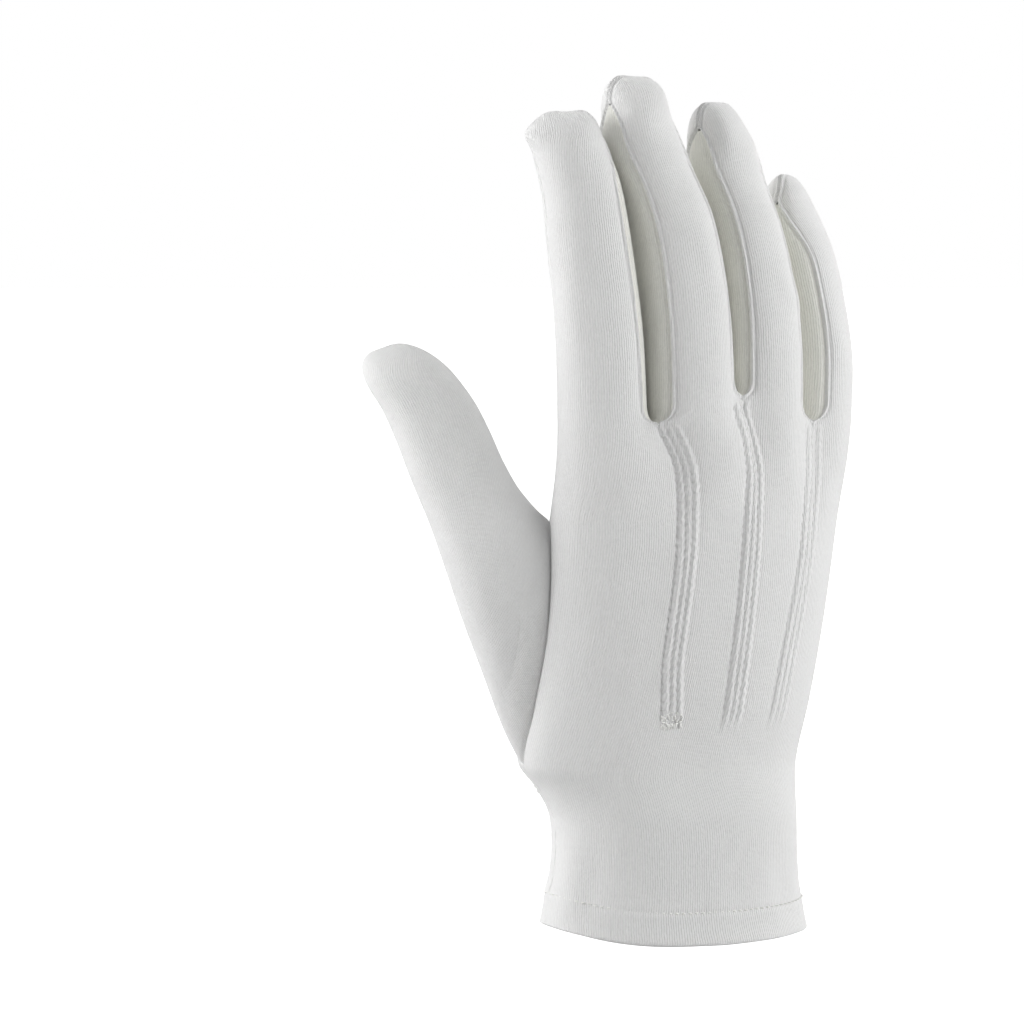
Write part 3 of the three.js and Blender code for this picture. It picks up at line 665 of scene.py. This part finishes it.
def side_distance(points, column):
    """Distance of every point of a grid from one of its side columns, along the rows."""
    step = np.linalg.norm(np.diff(points, axis=1), axis=2)
    across = np.concatenate([np.zeros((points.shape[0], 1)), np.cumsum(step, axis=1)], axis=1)
    return across if column == 0 else across[:, -1:] - across


def end_distance(points):
    """Distance of every point of a grid from its last row, along the columns."""
    step = np.linalg.norm(np.diff(points, axis=0), axis=2)
    along = np.concatenate([np.zeros((1, points.shape[1])), np.cumsum(step, axis=0)], axis=0)
    return along[-1:] - along


def soft_noise(points, waves, step=0):
    """Slow waves that keep the cloth from looking machined."""
    scale, amount, seed = waves
    rng = np.random.default_rng(seed + step)
    total = np.zeros(points.shape[:-1])
    for _ in range(WAVE_COUNT):
        direction = rng.normal(size=3) * np.array(WAVE_STRETCH)
        phase = rng.uniform(0, 2 * np.pi)
        total += np.sin(points @ direction / scale + phase)
    return total / WAVE_COUNT * amount


def point_relief(points, from_line, below, phase):
    """The three cords of a raised point, drawn in by the stitches between them."""
    z = points[..., 2]
    low, high, strength, fade = POINT_PLACES[phase]
    foot = (z - POINT_FOOT + fade) / (POINT_END + fade)
    inside = ease(np.minimum(foot, (below - POINT_TOP_GAP) / POINT_TOP_FADE))
    up = ease((z - POINT_FOOT) / (HAND_HEIGHT - POINT_FOOT))
    sway = CORD_SWAY * np.sin(2 * np.pi * z / STITCH_PITCH + phase)
    at = from_line - mix(low, high, up) + sway
    relief = -sum(depth * bell(at - place, POINT_SIDE_WIDTH) for place, depth in POINT_SIDES)
    for cord in (-1, 0, 1):
        turn = (z / STITCH_PITCH + phase + cord / 2) % 1 - 1 / 2
        hole = bell(turn, STITCH_HOLE)
        ridge = bell(at - cord * CORD_PITCH, CORD_WIDTH)
        relief = relief + POINT_RISE * ridge * (1 - STITCH_PINCH * hole)
        valley = bell(at - (cord - 1 / 2) * CORD_PITCH, VALLEY_WIDTH)
        relief = relief - VALLEY_DEPTH * valley * hole
    return inside * relief * strength


def fold_relief(points):
    relief = np.zeros(points.shape[:-1])
    for x, z, wide, tall, lean, rise in BACK_FOLDS:
        up = points[..., 2] - z
        across = points[..., 0] - x - lean * up
        relief += rise * np.exp(-((across / wide) ** 2) - (up / tall) ** 2)
    return relief


def cloth_relief(side, points):
    relief = soft_noise(points, PANEL_WAVES, side)
    return relief + fold_relief(points) if side > 0 else relief


def hem_groove(distance):
    return HEM_GROOVE * bell(distance, HEM_GROOVE_WIDTH)


def sewn(relief, f, low, high, below):
    """The two side seams of a strip: plain at a panel's own sides, and rolled elsewhere."""
    below = below * CROTCH_ROUNDING
    relief = dive(relief, low, PLAIN_DIVE) if f == 0 else roll(relief, np.hypot(low, below))
    return dive(relief, high, PLAIN_DIVE) if f == LAST else roll(relief, np.hypot(high, below))


def hand_relief(side, f, points):
    relief = cloth_relief(side, points)
    low = side_distance(points, 0)
    high = side_distance(points, -1)
    below = end_distance(points)
    if side > 0 and f > 0:
        relief += point_relief(points, low, below, f - 1)
    if side > 0 and f < LAST:
        relief += point_relief(points, -high, below, f)
    relief = sewn(relief, f, low, high, below)
    return relief - hem_groove(points[..., 2] - points[:1, :, 2])


def finger_relief(side, f, points):
    relief = cloth_relief(side, points)
    relief = sewn(relief, f, side_distance(points, 0), side_distance(points, -1), 0)
    return mix(relief, 0, bell(end_distance(points), TIP_FADE))


def joined(hand, finger):
    """The hand and a finger with the bend between them rounded along each column."""
    whole = np.concatenate([hand, finger[1:]])
    step = np.linalg.norm(np.diff(whole, axis=0), axis=2)
    run = np.concatenate([np.zeros((1, whole.shape[1])), np.cumsum(step, axis=0)])
    run = run - run[len(hand) - 1]
    near = np.nonzero(np.abs(run).min(axis=1) < JOIN_REACH * JOIN_WINDOW)[0]
    rows = slice(near[0], near[-1] + 1)
    at = run[rows]
    share = np.gradient(at, axis=0)
    weights = bell(at[:, None] - at[None], JOIN_ROUND) * share[None]
    mean = np.einsum("abc,bck->ack", weights, whole[rows]) / weights.sum(axis=1)[..., None]
    return whole, rows, at, mean


def strips(side, f):
    """One finger's strip of a panel: its hand part and its finger part."""
    hand, finger = hand_strip(side, f), finger_strip(side, f)
    whole, rows, at, mean = joined(hand, finger)
    low = side_distance(whole, 0)[rows]
    high = side_distance(whole, -1)[rows]
    inside = np.ones_like(at)
    if f > 0:
        inside *= ease(np.hypot(low, np.minimum(at, 0)) / SEAM_CLEAR)
    if f < LAST:
        inside *= ease(np.hypot(high, np.minimum(at, 0)) / SEAM_CLEAR)
    blend = inside * bell(at, JOIN_REACH)
    whole[rows] = mix(whole[rows], mean, blend[..., None])
    return whole[: len(hand)], whole[len(hand) - 1 :]


def panel(name, side):
    """The back or the palm: four strips, laid side by side on one flat cloth."""
    cloth = Cloth(name, name, "white_knit")
    parts = [strips(side, f) for f in range(len(FINGERS))]
    start = -sum(side_distance(hand, 0)[:, -1:] for hand, _ in parts) / 2
    for f, (hand, finger) in enumerate(parts):
        across = start + side_distance(hand, 0)
        start = across[:, -1:]
        places = np.stack([across, hand[..., 2]], axis=-1)
        cloth.add(hand, hand_relief(side, f, hand), side < 0, places=places)
        middle = finger.shape[1] // 2
        places = cloth_places(finger, middle)
        places[..., 0] += across[-1, middle]
        cloth.add(finger, finger_relief(side, f, finger), side < 0, places=places)
    return cloth


def fourchette(f):
    """The strip between two fingers: down the flank of one and up the flank of the next."""
    def flank(finger, sign):
        along, end = finger_steps(finger)
        along = along[: end + 1]
        edge = seam_angle(finger, along)[:, None]
        t = np.linspace(0, 1, FOURCHETTE_CELLS + 1)[None, :]
        t = (1 - np.cos(np.pi * t)) / 2
        angles = mix(edge, 2 * SIDE - edge, t)
        return finger_point(finger, sign * angles, along[:, None])

    name = "fourchette_" + FINGERS[f]["name"] + "_" + FINGERS[f + 1]["name"]
    # The fourchettes' material is a lighter, warmer copy of the white knit: painted light between
    # the fingers
    cloth = Cloth(name, name, "fourchette_knit")
    points = np.concatenate([flank(f, 1)[::-1], flank(f + 1, -1)[1:]])
    edge = np.minimum(side_distance(points, 0), side_distance(points, -1))
    edge = np.minimum(edge, end_distance(points), end_distance(points[::-1])[::-1])
    relief = dive(soft_noise(points, FOURCHETTE_WAVES, f), edge, FOURCHETTE_DIVE)
    cloth.add(points, relief, True)
    return cloth


def thumb_oval(along, angle):
    def read(column):
        return curve(THUMB_SECTIONS, "along", column, along)

    to_tip = (1 - along) * TIP_ROUND / THUMB_TIP
    wide = oval_cos(angle, FINGER_OVAL) * narrowing(to_tip) * THUMB_LENGTH
    deep = oval_sin(angle, FINGER_OVAL) * closing(to_tip * TIP_CLOSE / TIP_ROUND) * THUMB_DEPTH
    foot = hand_point(1, np.array(-SIDE), np.array(float(THUMB_FOOT)))
    x = foot[0] + read("x") * THUMB_LENGTH + read("halfX") * wide
    y = read("deep") * THUMB_DEPTH - read("depth") * deep
    z = foot[2] + read("z") * THUMB_LENGTH + read("halfZ") * wide
    return np.stack(np.broadcast_arrays(x, y, z), axis=-1)


def thumb_steps():
    shaft = np.linspace(0, THUMB_SHAFT, THUMB_ROWS)
    turn = math.degrees(math.acos(1 - (1 - THUMB_SHAFT) / THUMB_TIP))
    turns = np.radians(np.linspace(turn, 0, THUMB_TIP_ROWS)[1:])
    tip = 1 - THUMB_TIP * (1 - np.cos(turns))
    return np.concatenate([shaft, tip])


def thumb(back, palm):
    """The set-in thumb: a tube whose foot is drawn to the hole in the two panels."""
    rows = slice(FOOT_ROW, CROTCH_ROW + 1)
    hole = np.concatenate([back[rows][::-1], palm[rows][1:-1]])
    turns = np.arange(len(hole)) / len(hole) * 4 * SIDE
    along = thumb_steps()[:, None]
    pull = np.clip(1 - along / THUMB_ROOT, 0, 1)[..., None] ** 2
    points = thumb_oval(along, turns) + (hole - thumb_oval(np.zeros((1, 1)), turns)) * pull
    start = np.linalg.norm(points - points[:1], axis=2)
    flush = THUMB_FLUSH * ease(start / FLUSH_START) * bell(along - FLUSH_ALONG, FLUSH_ALONG_REACH)
    flush = flush * bell(turns - FLUSH_TURN, FLUSH_TURN_REACH)
    relief = dive(soft_noise(points, THUMB_WAVES) - flush, start, PLAIN_DIVE)
    relief = mix(relief, 0, bell(end_distance(points), TIP_FADE))
    cloth = Cloth("thumb", "thumb", "white_knit")
    cloth.add(points, relief, True, True)
    return cloth


def ring_of(back, palm):
    return np.concatenate([back, palm[1:-1][::-1]])


def hem_band(back, palm):
    """The turned hem: out over the doubled cloth, round the rim and back up inside."""
    ring = ring_of(back, palm)
    outward = level_unit(ring)
    fold = (WALL + HEM_PROUD) / 2
    rim = fold - HEM_HEIGHT
    steps = np.linspace(0, 1, HEM_ROWS) ** HEM_STEP_POWER
    outer = [(HEM_PROUD * t**FLARE_POWER, rim * t) for t in steps]
    turns = np.radians(np.linspace(0, 180, HEM_CURL_ROWS)[1:])
    middle = HEM_PROUD - fold
    curl = [(middle + fold * math.cos(a), rim - fold * math.sin(a)) for a in turns]
    inner = [(middle - fold, up) for up in np.linspace(rim, 0, HEM_INNER_ROWS)[1:]]
    profile = (outer + curl + inner)[::-1]
    points = np.stack([ring + outward * out + [0, 0, up] for out, up in profile])
    relief = soft_noise(points, PANEL_WAVES, 1)
    relief += fold_relief(points) * (points[..., 1] < 0)
    relief -= hem_groove(end_distance(points))
    cloth = Cloth("cuff_hem", "cuff_hem", "white_knit")
    cloth.add(points, relief, False, True)
    return cloth


def elastic():
    reach = SIDE * ELASTIC_REACH
    across = np.linspace(-reach, reach, ELASTIC_COLUMNS)
    up = np.linspace(-ELASTIC_WIDTH / 2, ELASTIC_WIDTH / 2, ELASTIC_ROWS)
    angles, rows = np.meshgrid(across, up)
    z = ELASTIC_HEIGHT + rows
    at = hand_point(-1, angles, z)
    centre = (hand_point(-1, np.array(0.0), z) + hand_point(1, np.array(0.0), z)) / 2
    inward = level_unit(centre - at)
    cloth = Cloth("wrist_elastic", "wrist_elastic", "elastic")
    cloth.add(at + inward * (WALL + ELASTIC_GAP + GATHER_DEPTH), None, True)
    return cloth


def build(cloth, mesh, inside, material):
    """A piece from its outer face and a coarser inner face, one wall apart."""
    outer = mesh["points"] + mesh["normals"] * mesh["relief"][:, None]
    points, quads, places = [outer], [mesh["quads"]], [mesh["cloth"]]
    if inside is not None:
        points.append(inside["points"] - inside["normals"] * WALL)
        quads.append(inside["quads"][:, ::-1] + len(outer))
        places.append(inside["cloth"])
    points = np.concatenate(points) * MM
    quads = np.concatenate(quads)
    places = np.concatenate(places)
    faces = [list(dict.fromkeys(quad)) for quad in quads.tolist()]
    faces = [face for face in faces if len(face) > 2]
    data = bpy.data.meshes.new(cloth.name)
    data.from_pydata(points.tolist(), [], faces)
    layer = data.attributes.new("cloth", "FLOAT_VECTOR", "POINT")
    flat = np.concatenate([places, np.zeros((len(places), 1))], axis=1)
    layer.data.foreach_set("vector", flat.astype(np.float32).ravel())
    data.validate()
    data.polygons.foreach_set("use_smooth", [True] * len(data.polygons))
    data.materials.append(material)
    piece = bpy.data.objects.new(cloth.name + "_cloth", data)
    bpy.context.scene.collection.objects.link(piece)
    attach(piece, "root")
    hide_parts(cloth.node)
    return piece


# Colour of each cloth, the distance between its wales, and the depth of its loops in metres; the
# fourchettes' colour holds painted light
KNITS = {
    "white_knit": ((0.93, 0.93, 0.925), 0.68, 0.0004),
    # Painted light: the fourchettes are given a lighter, warmer colour than the white knit,
    # standing in for light that shines through the thin cotton between the fingers
    "fourchette_knit": ((0.97, 0.97, 0.91), 0.68, 0.0004),
    "elastic": ((0.92, 0.92, 0.91), 1.0, 0.0002),
}
SHADED = 0.965

# A wave texture of scale 1 turns by these radians in one unit
BAND_TURN = 20


def noise(tree, vector, scale, detail):
    node = tree.nodes.new("ShaderNodeTexNoise")
    node.inputs["Scale"].default_value = scale
    node.inputs["Detail"].default_value = detail
    tree.links.new(vector, node.inputs["Vector"])
    return node


def knit(name, colour, wale, depth):
    """Fine cotton knit: wales along the cloth, a little fuzz, slow random changes of tone, and
    painted shade in its grooves.
    """
    material = bpy.data.materials.new(name)
    material.use_nodes = True
    tree = material.node_tree
    nodes, links = tree.nodes, tree.links
    shader = nodes["Principled BSDF"]
    shader.inputs["Roughness"].default_value = 0.92
    shader.inputs["Sheen Weight"].default_value = 0.35
    shader.inputs["Sheen Roughness"].default_value = 0.5
    shader.inputs["Specular IOR Level"].default_value = 0.2
    place = nodes.new("ShaderNodeAttribute")
    place.attribute_name = "cloth"
    wander = noise(tree, place.outputs["Vector"], scale=0.13, detail=2)
    bend = nodes.new("ShaderNodeVectorMath")
    bend.operation = "MULTIPLY_ADD"
    bend.inputs[1].default_value = (0.8, 0.8, 0)
    links.new(wander.outputs["Color"], bend.inputs[0])
    links.new(place.outputs["Vector"], bend.inputs[2])
    wales = nodes.new("ShaderNodeTexWave")
    wales.bands_direction = "X"
    wales.inputs["Scale"].default_value = 2 * math.pi / BAND_TURN / wale
    wales.inputs["Distortion"].default_value = 1.2
    wales.inputs["Detail"].default_value = 1
    links.new(bend.outputs["Vector"], wales.inputs["Vector"])
    stretch = nodes.new("ShaderNodeMapping")
    stretch.inputs["Scale"].default_value = (1.0, 0.45, 1.0)
    links.new(place.outputs["Vector"], stretch.inputs["Vector"])
    loops = noise(tree, stretch.outputs["Vector"], scale=1.7, detail=5)
    loops.inputs["Roughness"].default_value = 0.65
    mixed = nodes.new("ShaderNodeMix")
    mixed.inputs["Factor"].default_value = 0.7
    links.new(wales.outputs["Fac"], mixed.inputs["A"])
    links.new(loops.outputs["Fac"], mixed.inputs["B"])
    bump = nodes.new("ShaderNodeBump")
    bump.inputs["Strength"].default_value = 0.8
    bump.inputs["Distance"].default_value = depth
    links.new(mixed.outputs["Result"], bump.inputs["Height"])
    links.new(bump.outputs["Normal"], shader.inputs["Normal"])
    shade = noise(tree, place.outputs["Vector"], scale=0.05, detail=4)
    ramp = nodes.new("ShaderNodeMix")
    ramp.data_type = "RGBA"
    ramp.inputs["A"].default_value = (*[c * SHADED for c in colour], 1)
    ramp.inputs["B"].default_value = (*colour, 1)
    links.new(shade.outputs["Fac"], ramp.inputs["Factor"])
    # Painted shade: the colour is darkened where the knit's height is low, in the grooves of its
    # wales and loops, following the bump
    painted_groove_shade = nodes.new("ShaderNodeMix")
    painted_groove_shade.data_type = "RGBA"
    painted_groove_shade.blend_type = "MULTIPLY"
    painted_groove_shade.inputs["Factor"].default_value = 0.26
    links.new(ramp.outputs["Result"], painted_groove_shade.inputs["A"])
    links.new(mixed.outputs["Result"], painted_groove_shade.inputs["B"])
    links.new(painted_groove_shade.outputs["Result"], shader.inputs["Base Color"])
    return material


def thread_material():
    material = bpy.data.materials.new("white_thread")
    material.use_nodes = True
    shader = material.node_tree.nodes["Principled BSDF"]
    shader.inputs["Base Color"].default_value = (0.9, 0.9, 0.88, 1)
    shader.inputs["Roughness"].default_value = 0.7
    shader.inputs["Sheen Weight"].default_value = 0.2
    return material


# A thread: its sides and rows, the height of its arch and the sinking of its ends in radii, how
# thin its ends are, and the pitch of the stitches along a seam and where they begin
THREAD_SIDES = 6
THREAD_ROWS = 6
THREAD_ARCH = 1.5
THREAD_SINK = 0.7
THREAD_END = 0.55
THREAD_PITCH = 1.9
THREAD_START = 0.3

# Radius of each seam's thread and, of one pitch, the share that its stitch fills
HEM_THREAD = 0.26
HEM_FILL = 0.66
HEM_SINK = 0.1
ZIGZAG_THREAD = 0.17
ZIGZAG_FILL = 0.72
ZIGZAG_LIFT = 0.15
ZIGZAG_REACH = 78
ZIGZAG_POINTS = 900
ZIGZAG_PITCH = 11.4
ZIGZAG_HEIGHT = 4
ZIGZAG_RADIUS = 0.45
PALM_MIDDLE = (0, -6, 0)

# The tack: a ring, knots in it and a fringe below it, by their reach across and up
TACK_SEED = 3
TACK_UP = 1.7
TACK_THREAD = 0.27
TACK_THREADS = 12
TACK_LIFT = 0.5
RING_POINTS = 15
RING_REACH = 2.9
RING_HEIGHT = 1.7
KNOT_REACH = 2.6
KNOT_WANDER = 1.2
KNOT_UP = (-1.2, 1.4)
FRINGE_REACH = 3.4
FRINGE_SPREAD = 1.15
FRINGE_WANDER = 0.6
FRINGE_UP = (-1.9, -1.2)
FRINGE_END = (-3.6, -2.6)


def stitches(name, starts, ends, normals, radius, material):
    """Short threads, each a low arch from where it comes out of the cloth to where it goes in."""
    around = THREAD_SIDES
    steps = np.linspace(0, 1, THREAD_ROWS)
    points, faces = [], []
    turn = np.linspace(0, 2 * np.pi, around, endpoint=False)
    for start, end, normal in zip(starts, ends, normals):
        axis = end - start
        length = np.linalg.norm(axis)
        if length < SHORT:
            continue
        cross = np.cross(axis / length, normal)
        cross /= np.linalg.norm(cross)
        base = len(points)
        for t in steps:
            arch = math.sin(math.pi * t)
            centre = mix(start, end, t) + normal * radius * (THREAD_ARCH * arch - THREAD_SINK)
            size = radius * mix(THREAD_END, 1, arch)
            points.extend(centre + size * (np.cos(a) * cross + np.sin(a) * normal) for a in turn)
        for i in range(len(steps) - 1):
            for j in range(around):
                k = (j + 1) % around
                row, above = base + i * around, base + (i + 1) * around
                faces.append((row + j, row + k, above + k, above + j))
        faces.append(tuple(base + j for j in reversed(range(around))))
        top = base + (len(steps) - 1) * around
        faces.append(tuple(top + j for j in range(around)))
    data = bpy.data.meshes.new(name)
    data.from_pydata((np.array(points) * MM).tolist(), [], faces)
    data.polygons.foreach_set("use_smooth", [True] * len(data.polygons))
    data.materials.append(material)
    piece = bpy.data.objects.new(name, data)
    bpy.context.scene.collection.objects.link(piece)
    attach(piece, "root")
    return piece


def along_line(line, pitch, fill):
    """Starts and ends of stitches laid along a line of points."""
    step = np.linalg.norm(np.diff(line, axis=0), axis=1)
    run = np.concatenate([[0], np.cumsum(step)])
    begin = np.arange(THREAD_START, run[-1] - pitch, pitch)

    def place(at):
        return np.stack([np.interp(at, run, line[:, k]) for k in range(3)], axis=-1)

    return place(begin), place(begin + pitch * fill)


def hem_stitches(back, palm, thread):
    ring = ring_of(back, palm)
    ring = np.concatenate([ring, ring[:1]])
    line = shaped(ring) - level_unit(ring) * HEM_SINK
    starts, ends = along_line(line, THREAD_PITCH, HEM_FILL)
    stitches("hem_stitches", starts, ends, level_unit(starts), HEM_THREAD, thread)


def elastic_stitches(thread):
    angles = np.linspace(-ZIGZAG_REACH, ZIGZAG_REACH, ZIGZAG_POINTS)
    run = np.radians(angles) * HAND_WIDTH * ZIGZAG_RADIUS
    zigzag = np.abs(((run / ZIGZAG_PITCH) % 1) * 2 - 1) - 1 / 2
    z = ELASTIC_HEIGHT + zigzag * ZIGZAG_HEIGHT
    line = hand_point(-1, angles, z)
    line = line + level_unit(line - hand_point(1, angles, z)) * ZIGZAG_LIFT
    starts, ends = along_line(line, THREAD_PITCH, ZIGZAG_FILL)
    normals = level_unit(starts - PALM_MIDDLE)
    stitches("elastic_stitches", starts, ends, normals, ZIGZAG_THREAD, thread)


def end_tack(thread):
    """The loops of thread that fasten the lower end of the first point, with their loose ends."""
    rng = np.random.default_rng(TACK_SEED)
    low = POINT_PLACES[0][0]

    def draw(least, most):
        return rng.uniform(least, most, TACK_THREADS)

    def on_back(across, up):
        z = POINT_FOOT + TACK_UP + np.asarray(up, float)
        line = curve(POINT_LINES, "up", "first", z / HAND_HEIGHT)
        radius = curve(HAND_SECTIONS, "up", "reach", z / HAND_HEIGHT) * HAND_WIDTH
        return hand_point(1, line + np.degrees((low + np.asarray(across)) / radius), z)

    turn = np.linspace(0, 2 * np.pi, RING_POINTS)
    ring = on_back(RING_REACH * np.cos(turn), RING_HEIGHT * np.sin(turn))
    across = draw(-KNOT_REACH, KNOT_REACH)
    knots = on_back(across, draw(*KNOT_UP))
    knot_ends = on_back(across + draw(-KNOT_WANDER, KNOT_WANDER), draw(*KNOT_UP))
    across = draw(-FRINGE_REACH, FRINGE_REACH)
    fringe = on_back(across, draw(*FRINGE_UP))
    across = across * FRINGE_SPREAD + draw(-FRINGE_WANDER, FRINGE_WANDER)
    fringe_ends = on_back(across, draw(*FRINGE_END))
    starts = np.concatenate([ring[:-1], knots, fringe])
    ends = np.concatenate([ring[1:], knot_ends, fringe_ends])
    facing = on_back(0, 0) - hand_point(-1, np.array(0.0), np.array(float(POINT_FOOT)))
    facing = facing * [1, 1, 0] / np.linalg.norm(facing)
    lift = facing * POINT_RISE * TACK_LIFT
    normals = np.repeat(facing[None], len(starts), axis=0)
    stitches("point_tack", starts + lift, ends + lift, normals, TACK_THREAD, thread)


def make_glove():
    cloths = [panel("back_panel", 1), panel("palm_panel", -1)]
    cloths += [fourchette(f) for f in range(LAST)]
    back_rows = [hand_strip(1, f) for f in range(len(FINGERS))]
    palm_rows = [hand_strip(-1, f) for f in range(len(FINGERS))]
    cloths.append(thumb(back_rows[0][:, 0], palm_rows[0][:, 0]))

    def low_row(strips):
        return np.concatenate([strips[0][0]] + [strip[0][1:] for strip in strips[1:]])

    back_low, palm_low = low_row(back_rows), low_row(palm_rows)
    cloths.append(hem_band(back_low, palm_low))
    cloths.append(elastic())
    meshes = [cloth.weld() for cloth in cloths]
    insides = [None if cloth.name == "cuff_hem" else cloth.weld(INSIDE_SKIP) for cloth in cloths]
    share_seam_normals(meshes)
    share_seam_normals([inside for inside in insides if inside is not None])
    looks = {name: knit(name, *look) for name, look in KNITS.items()}
    for cloth, mesh, inside in zip(cloths, meshes, insides):
        build(cloth, mesh, inside, looks[cloth.slot])
    thread = thread_material()
    hem_stitches(back_low, palm_low, thread)
    elastic_stitches(thread)
    end_tack(thread)


# The photograph's frame, in millimetres, and the camera that sees it
VIEW_WIDTH = 284.7
VIEW_CENTRE = (-44.5, 0, 118.4)
CAMERA_DISTANCE = 1500
CAMERA_PITCH = 3
SENSOR_WIDTH = 36


def make_camera():
    data = bpy.data.cameras.new("camera")
    data.sensor_width = SENSOR_WIDTH
    data.lens = SENSOR_WIDTH * CAMERA_DISTANCE / VIEW_WIDTH
    camera = bpy.data.objects.new("camera", data)
    bpy.context.scene.collection.objects.link(camera)
    target = Vector(VIEW_CENTRE) * MM
    pitch = math.radians(CAMERA_PITCH)
    camera.location = target + Vector((0, -math.cos(pitch), math.sin(pitch))) * CAMERA_DISTANCE * MM
    camera.rotation_euler = (target - camera.location).to_track_quat("-Z", "Y").to_euler()
    bpy.context.scene.camera = camera


# The tent's light at its door and behind the glove, and the door's turn, tilt and edges in degrees
TENT_FRONT = 0.15
TENT_BACK = 1.15
TENT_DOOR = 10
DOOR_TILT = 25
DOOR_INSIDE = 35
DOOR_OUTSIDE = 75
FLOOR_GLOW = 1.0
FLOOR_GREY = 0.4
FLOOR_SIZE = 40
FLOOR_HEIGHT = -0.04


def only_seen(tree, seen, lit):
    """What the camera sees directly, and what lights the glove."""
    path = tree.nodes.new("ShaderNodeLightPath")
    choice = tree.nodes.new("ShaderNodeMix")
    choice.inputs["B"].default_value = seen
    tree.links.new(path.outputs["Is Camera Ray"], choice.inputs["Factor"])
    if lit is None:
        choice.inputs["A"].default_value = 0
    else:
        tree.links.new(lit, choice.inputs["A"])
    return choice.outputs["Result"]


def make_tent():
    """A white tent round the glove, bright but for its door on the camera's side."""
    world = bpy.data.worlds.new("tent")
    bpy.context.scene.world = world
    world.use_nodes = True
    tree = world.node_tree
    place = tree.nodes.new("ShaderNodeTexCoord")
    facing = tree.nodes.new("ShaderNodeVectorMath")
    facing.operation = "DOT_PRODUCT"
    turn = math.radians(TENT_DOOR)
    tilt = math.radians(DOOR_TILT)
    door = (math.sin(turn) * math.cos(tilt), -math.cos(turn) * math.cos(tilt), math.sin(tilt))
    facing.inputs[1].default_value = door
    tree.links.new(place.outputs["Generated"], facing.inputs[0])
    light = tree.nodes.new("ShaderNodeMapRange")
    light.interpolation_type = "SMOOTHSTEP"
    light.inputs["From Min"].default_value = math.cos(math.radians(DOOR_OUTSIDE))
    light.inputs["From Max"].default_value = math.cos(math.radians(DOOR_INSIDE))
    light.inputs["To Min"].default_value = TENT_BACK
    light.inputs["To Max"].default_value = TENT_FRONT
    tree.links.new(facing.outputs["Value"], light.inputs["Value"])
    background = tree.nodes["Background"]
    background.inputs["Color"].default_value = (1, 1, 1, 1)
    tree.links.new(only_seen(tree, 1, light.outputs["Result"]), background.inputs["Strength"])


BOX_DISTANCE = 0.9
BOX_TARGET = (0, 0, 0.12)

# Soft boxes: name, angle from the camera round the glove, height, size and power
SOFT_BOXES = [
    ("left_box", -83, 0.15, 0.8, 4.9),
    ("left_front_box", -57, 0.15, 0.8, 2.8),
    ("right_box", 88, 0.15, 0.8, 3.7),
    ("right_front_box", 60, 0.15, 0.8, 4.1),
]


def soft_box(name, angle, height, size, power):
    data = bpy.data.lights.new(name, "AREA")
    data.size = size
    data.energy = power
    light = bpy.data.objects.new(name, data)
    bpy.context.scene.collection.objects.link(light)
    turn = math.radians(angle)
    light.location = (BOX_DISTANCE * math.sin(turn), -BOX_DISTANCE * math.cos(turn), height)
    light.rotation_euler = (Vector(BOX_TARGET) - light.location).to_track_quat("-Z", "Y").to_euler()


def make_floor():
    bpy.ops.mesh.primitive_plane_add(size=FLOOR_SIZE, location=(0, 0, FLOOR_HEIGHT))
    floor = bpy.context.object
    floor.name = "floor"
    material = bpy.data.materials.new("floor")
    material.use_nodes = True
    tree = material.node_tree
    shader = tree.nodes["Principled BSDF"]
    shader.inputs["Base Color"].default_value = (FLOOR_GREY, FLOOR_GREY, FLOOR_GREY, 1)
    shader.inputs["Roughness"].default_value = 0.9
    shader.inputs["Emission Color"].default_value = (1, 1, 1, 1)
    tree.links.new(only_seen(tree, FLOOR_GLOW, None), shader.inputs["Emission Strength"])
    floor.data.materials.append(material)


make_glove()
make_camera()
make_tent()
for box in SOFT_BOXES:
    soft_box(*box)
make_floor()
bpy.context.scene.view_settings.view_transform = "Standard"
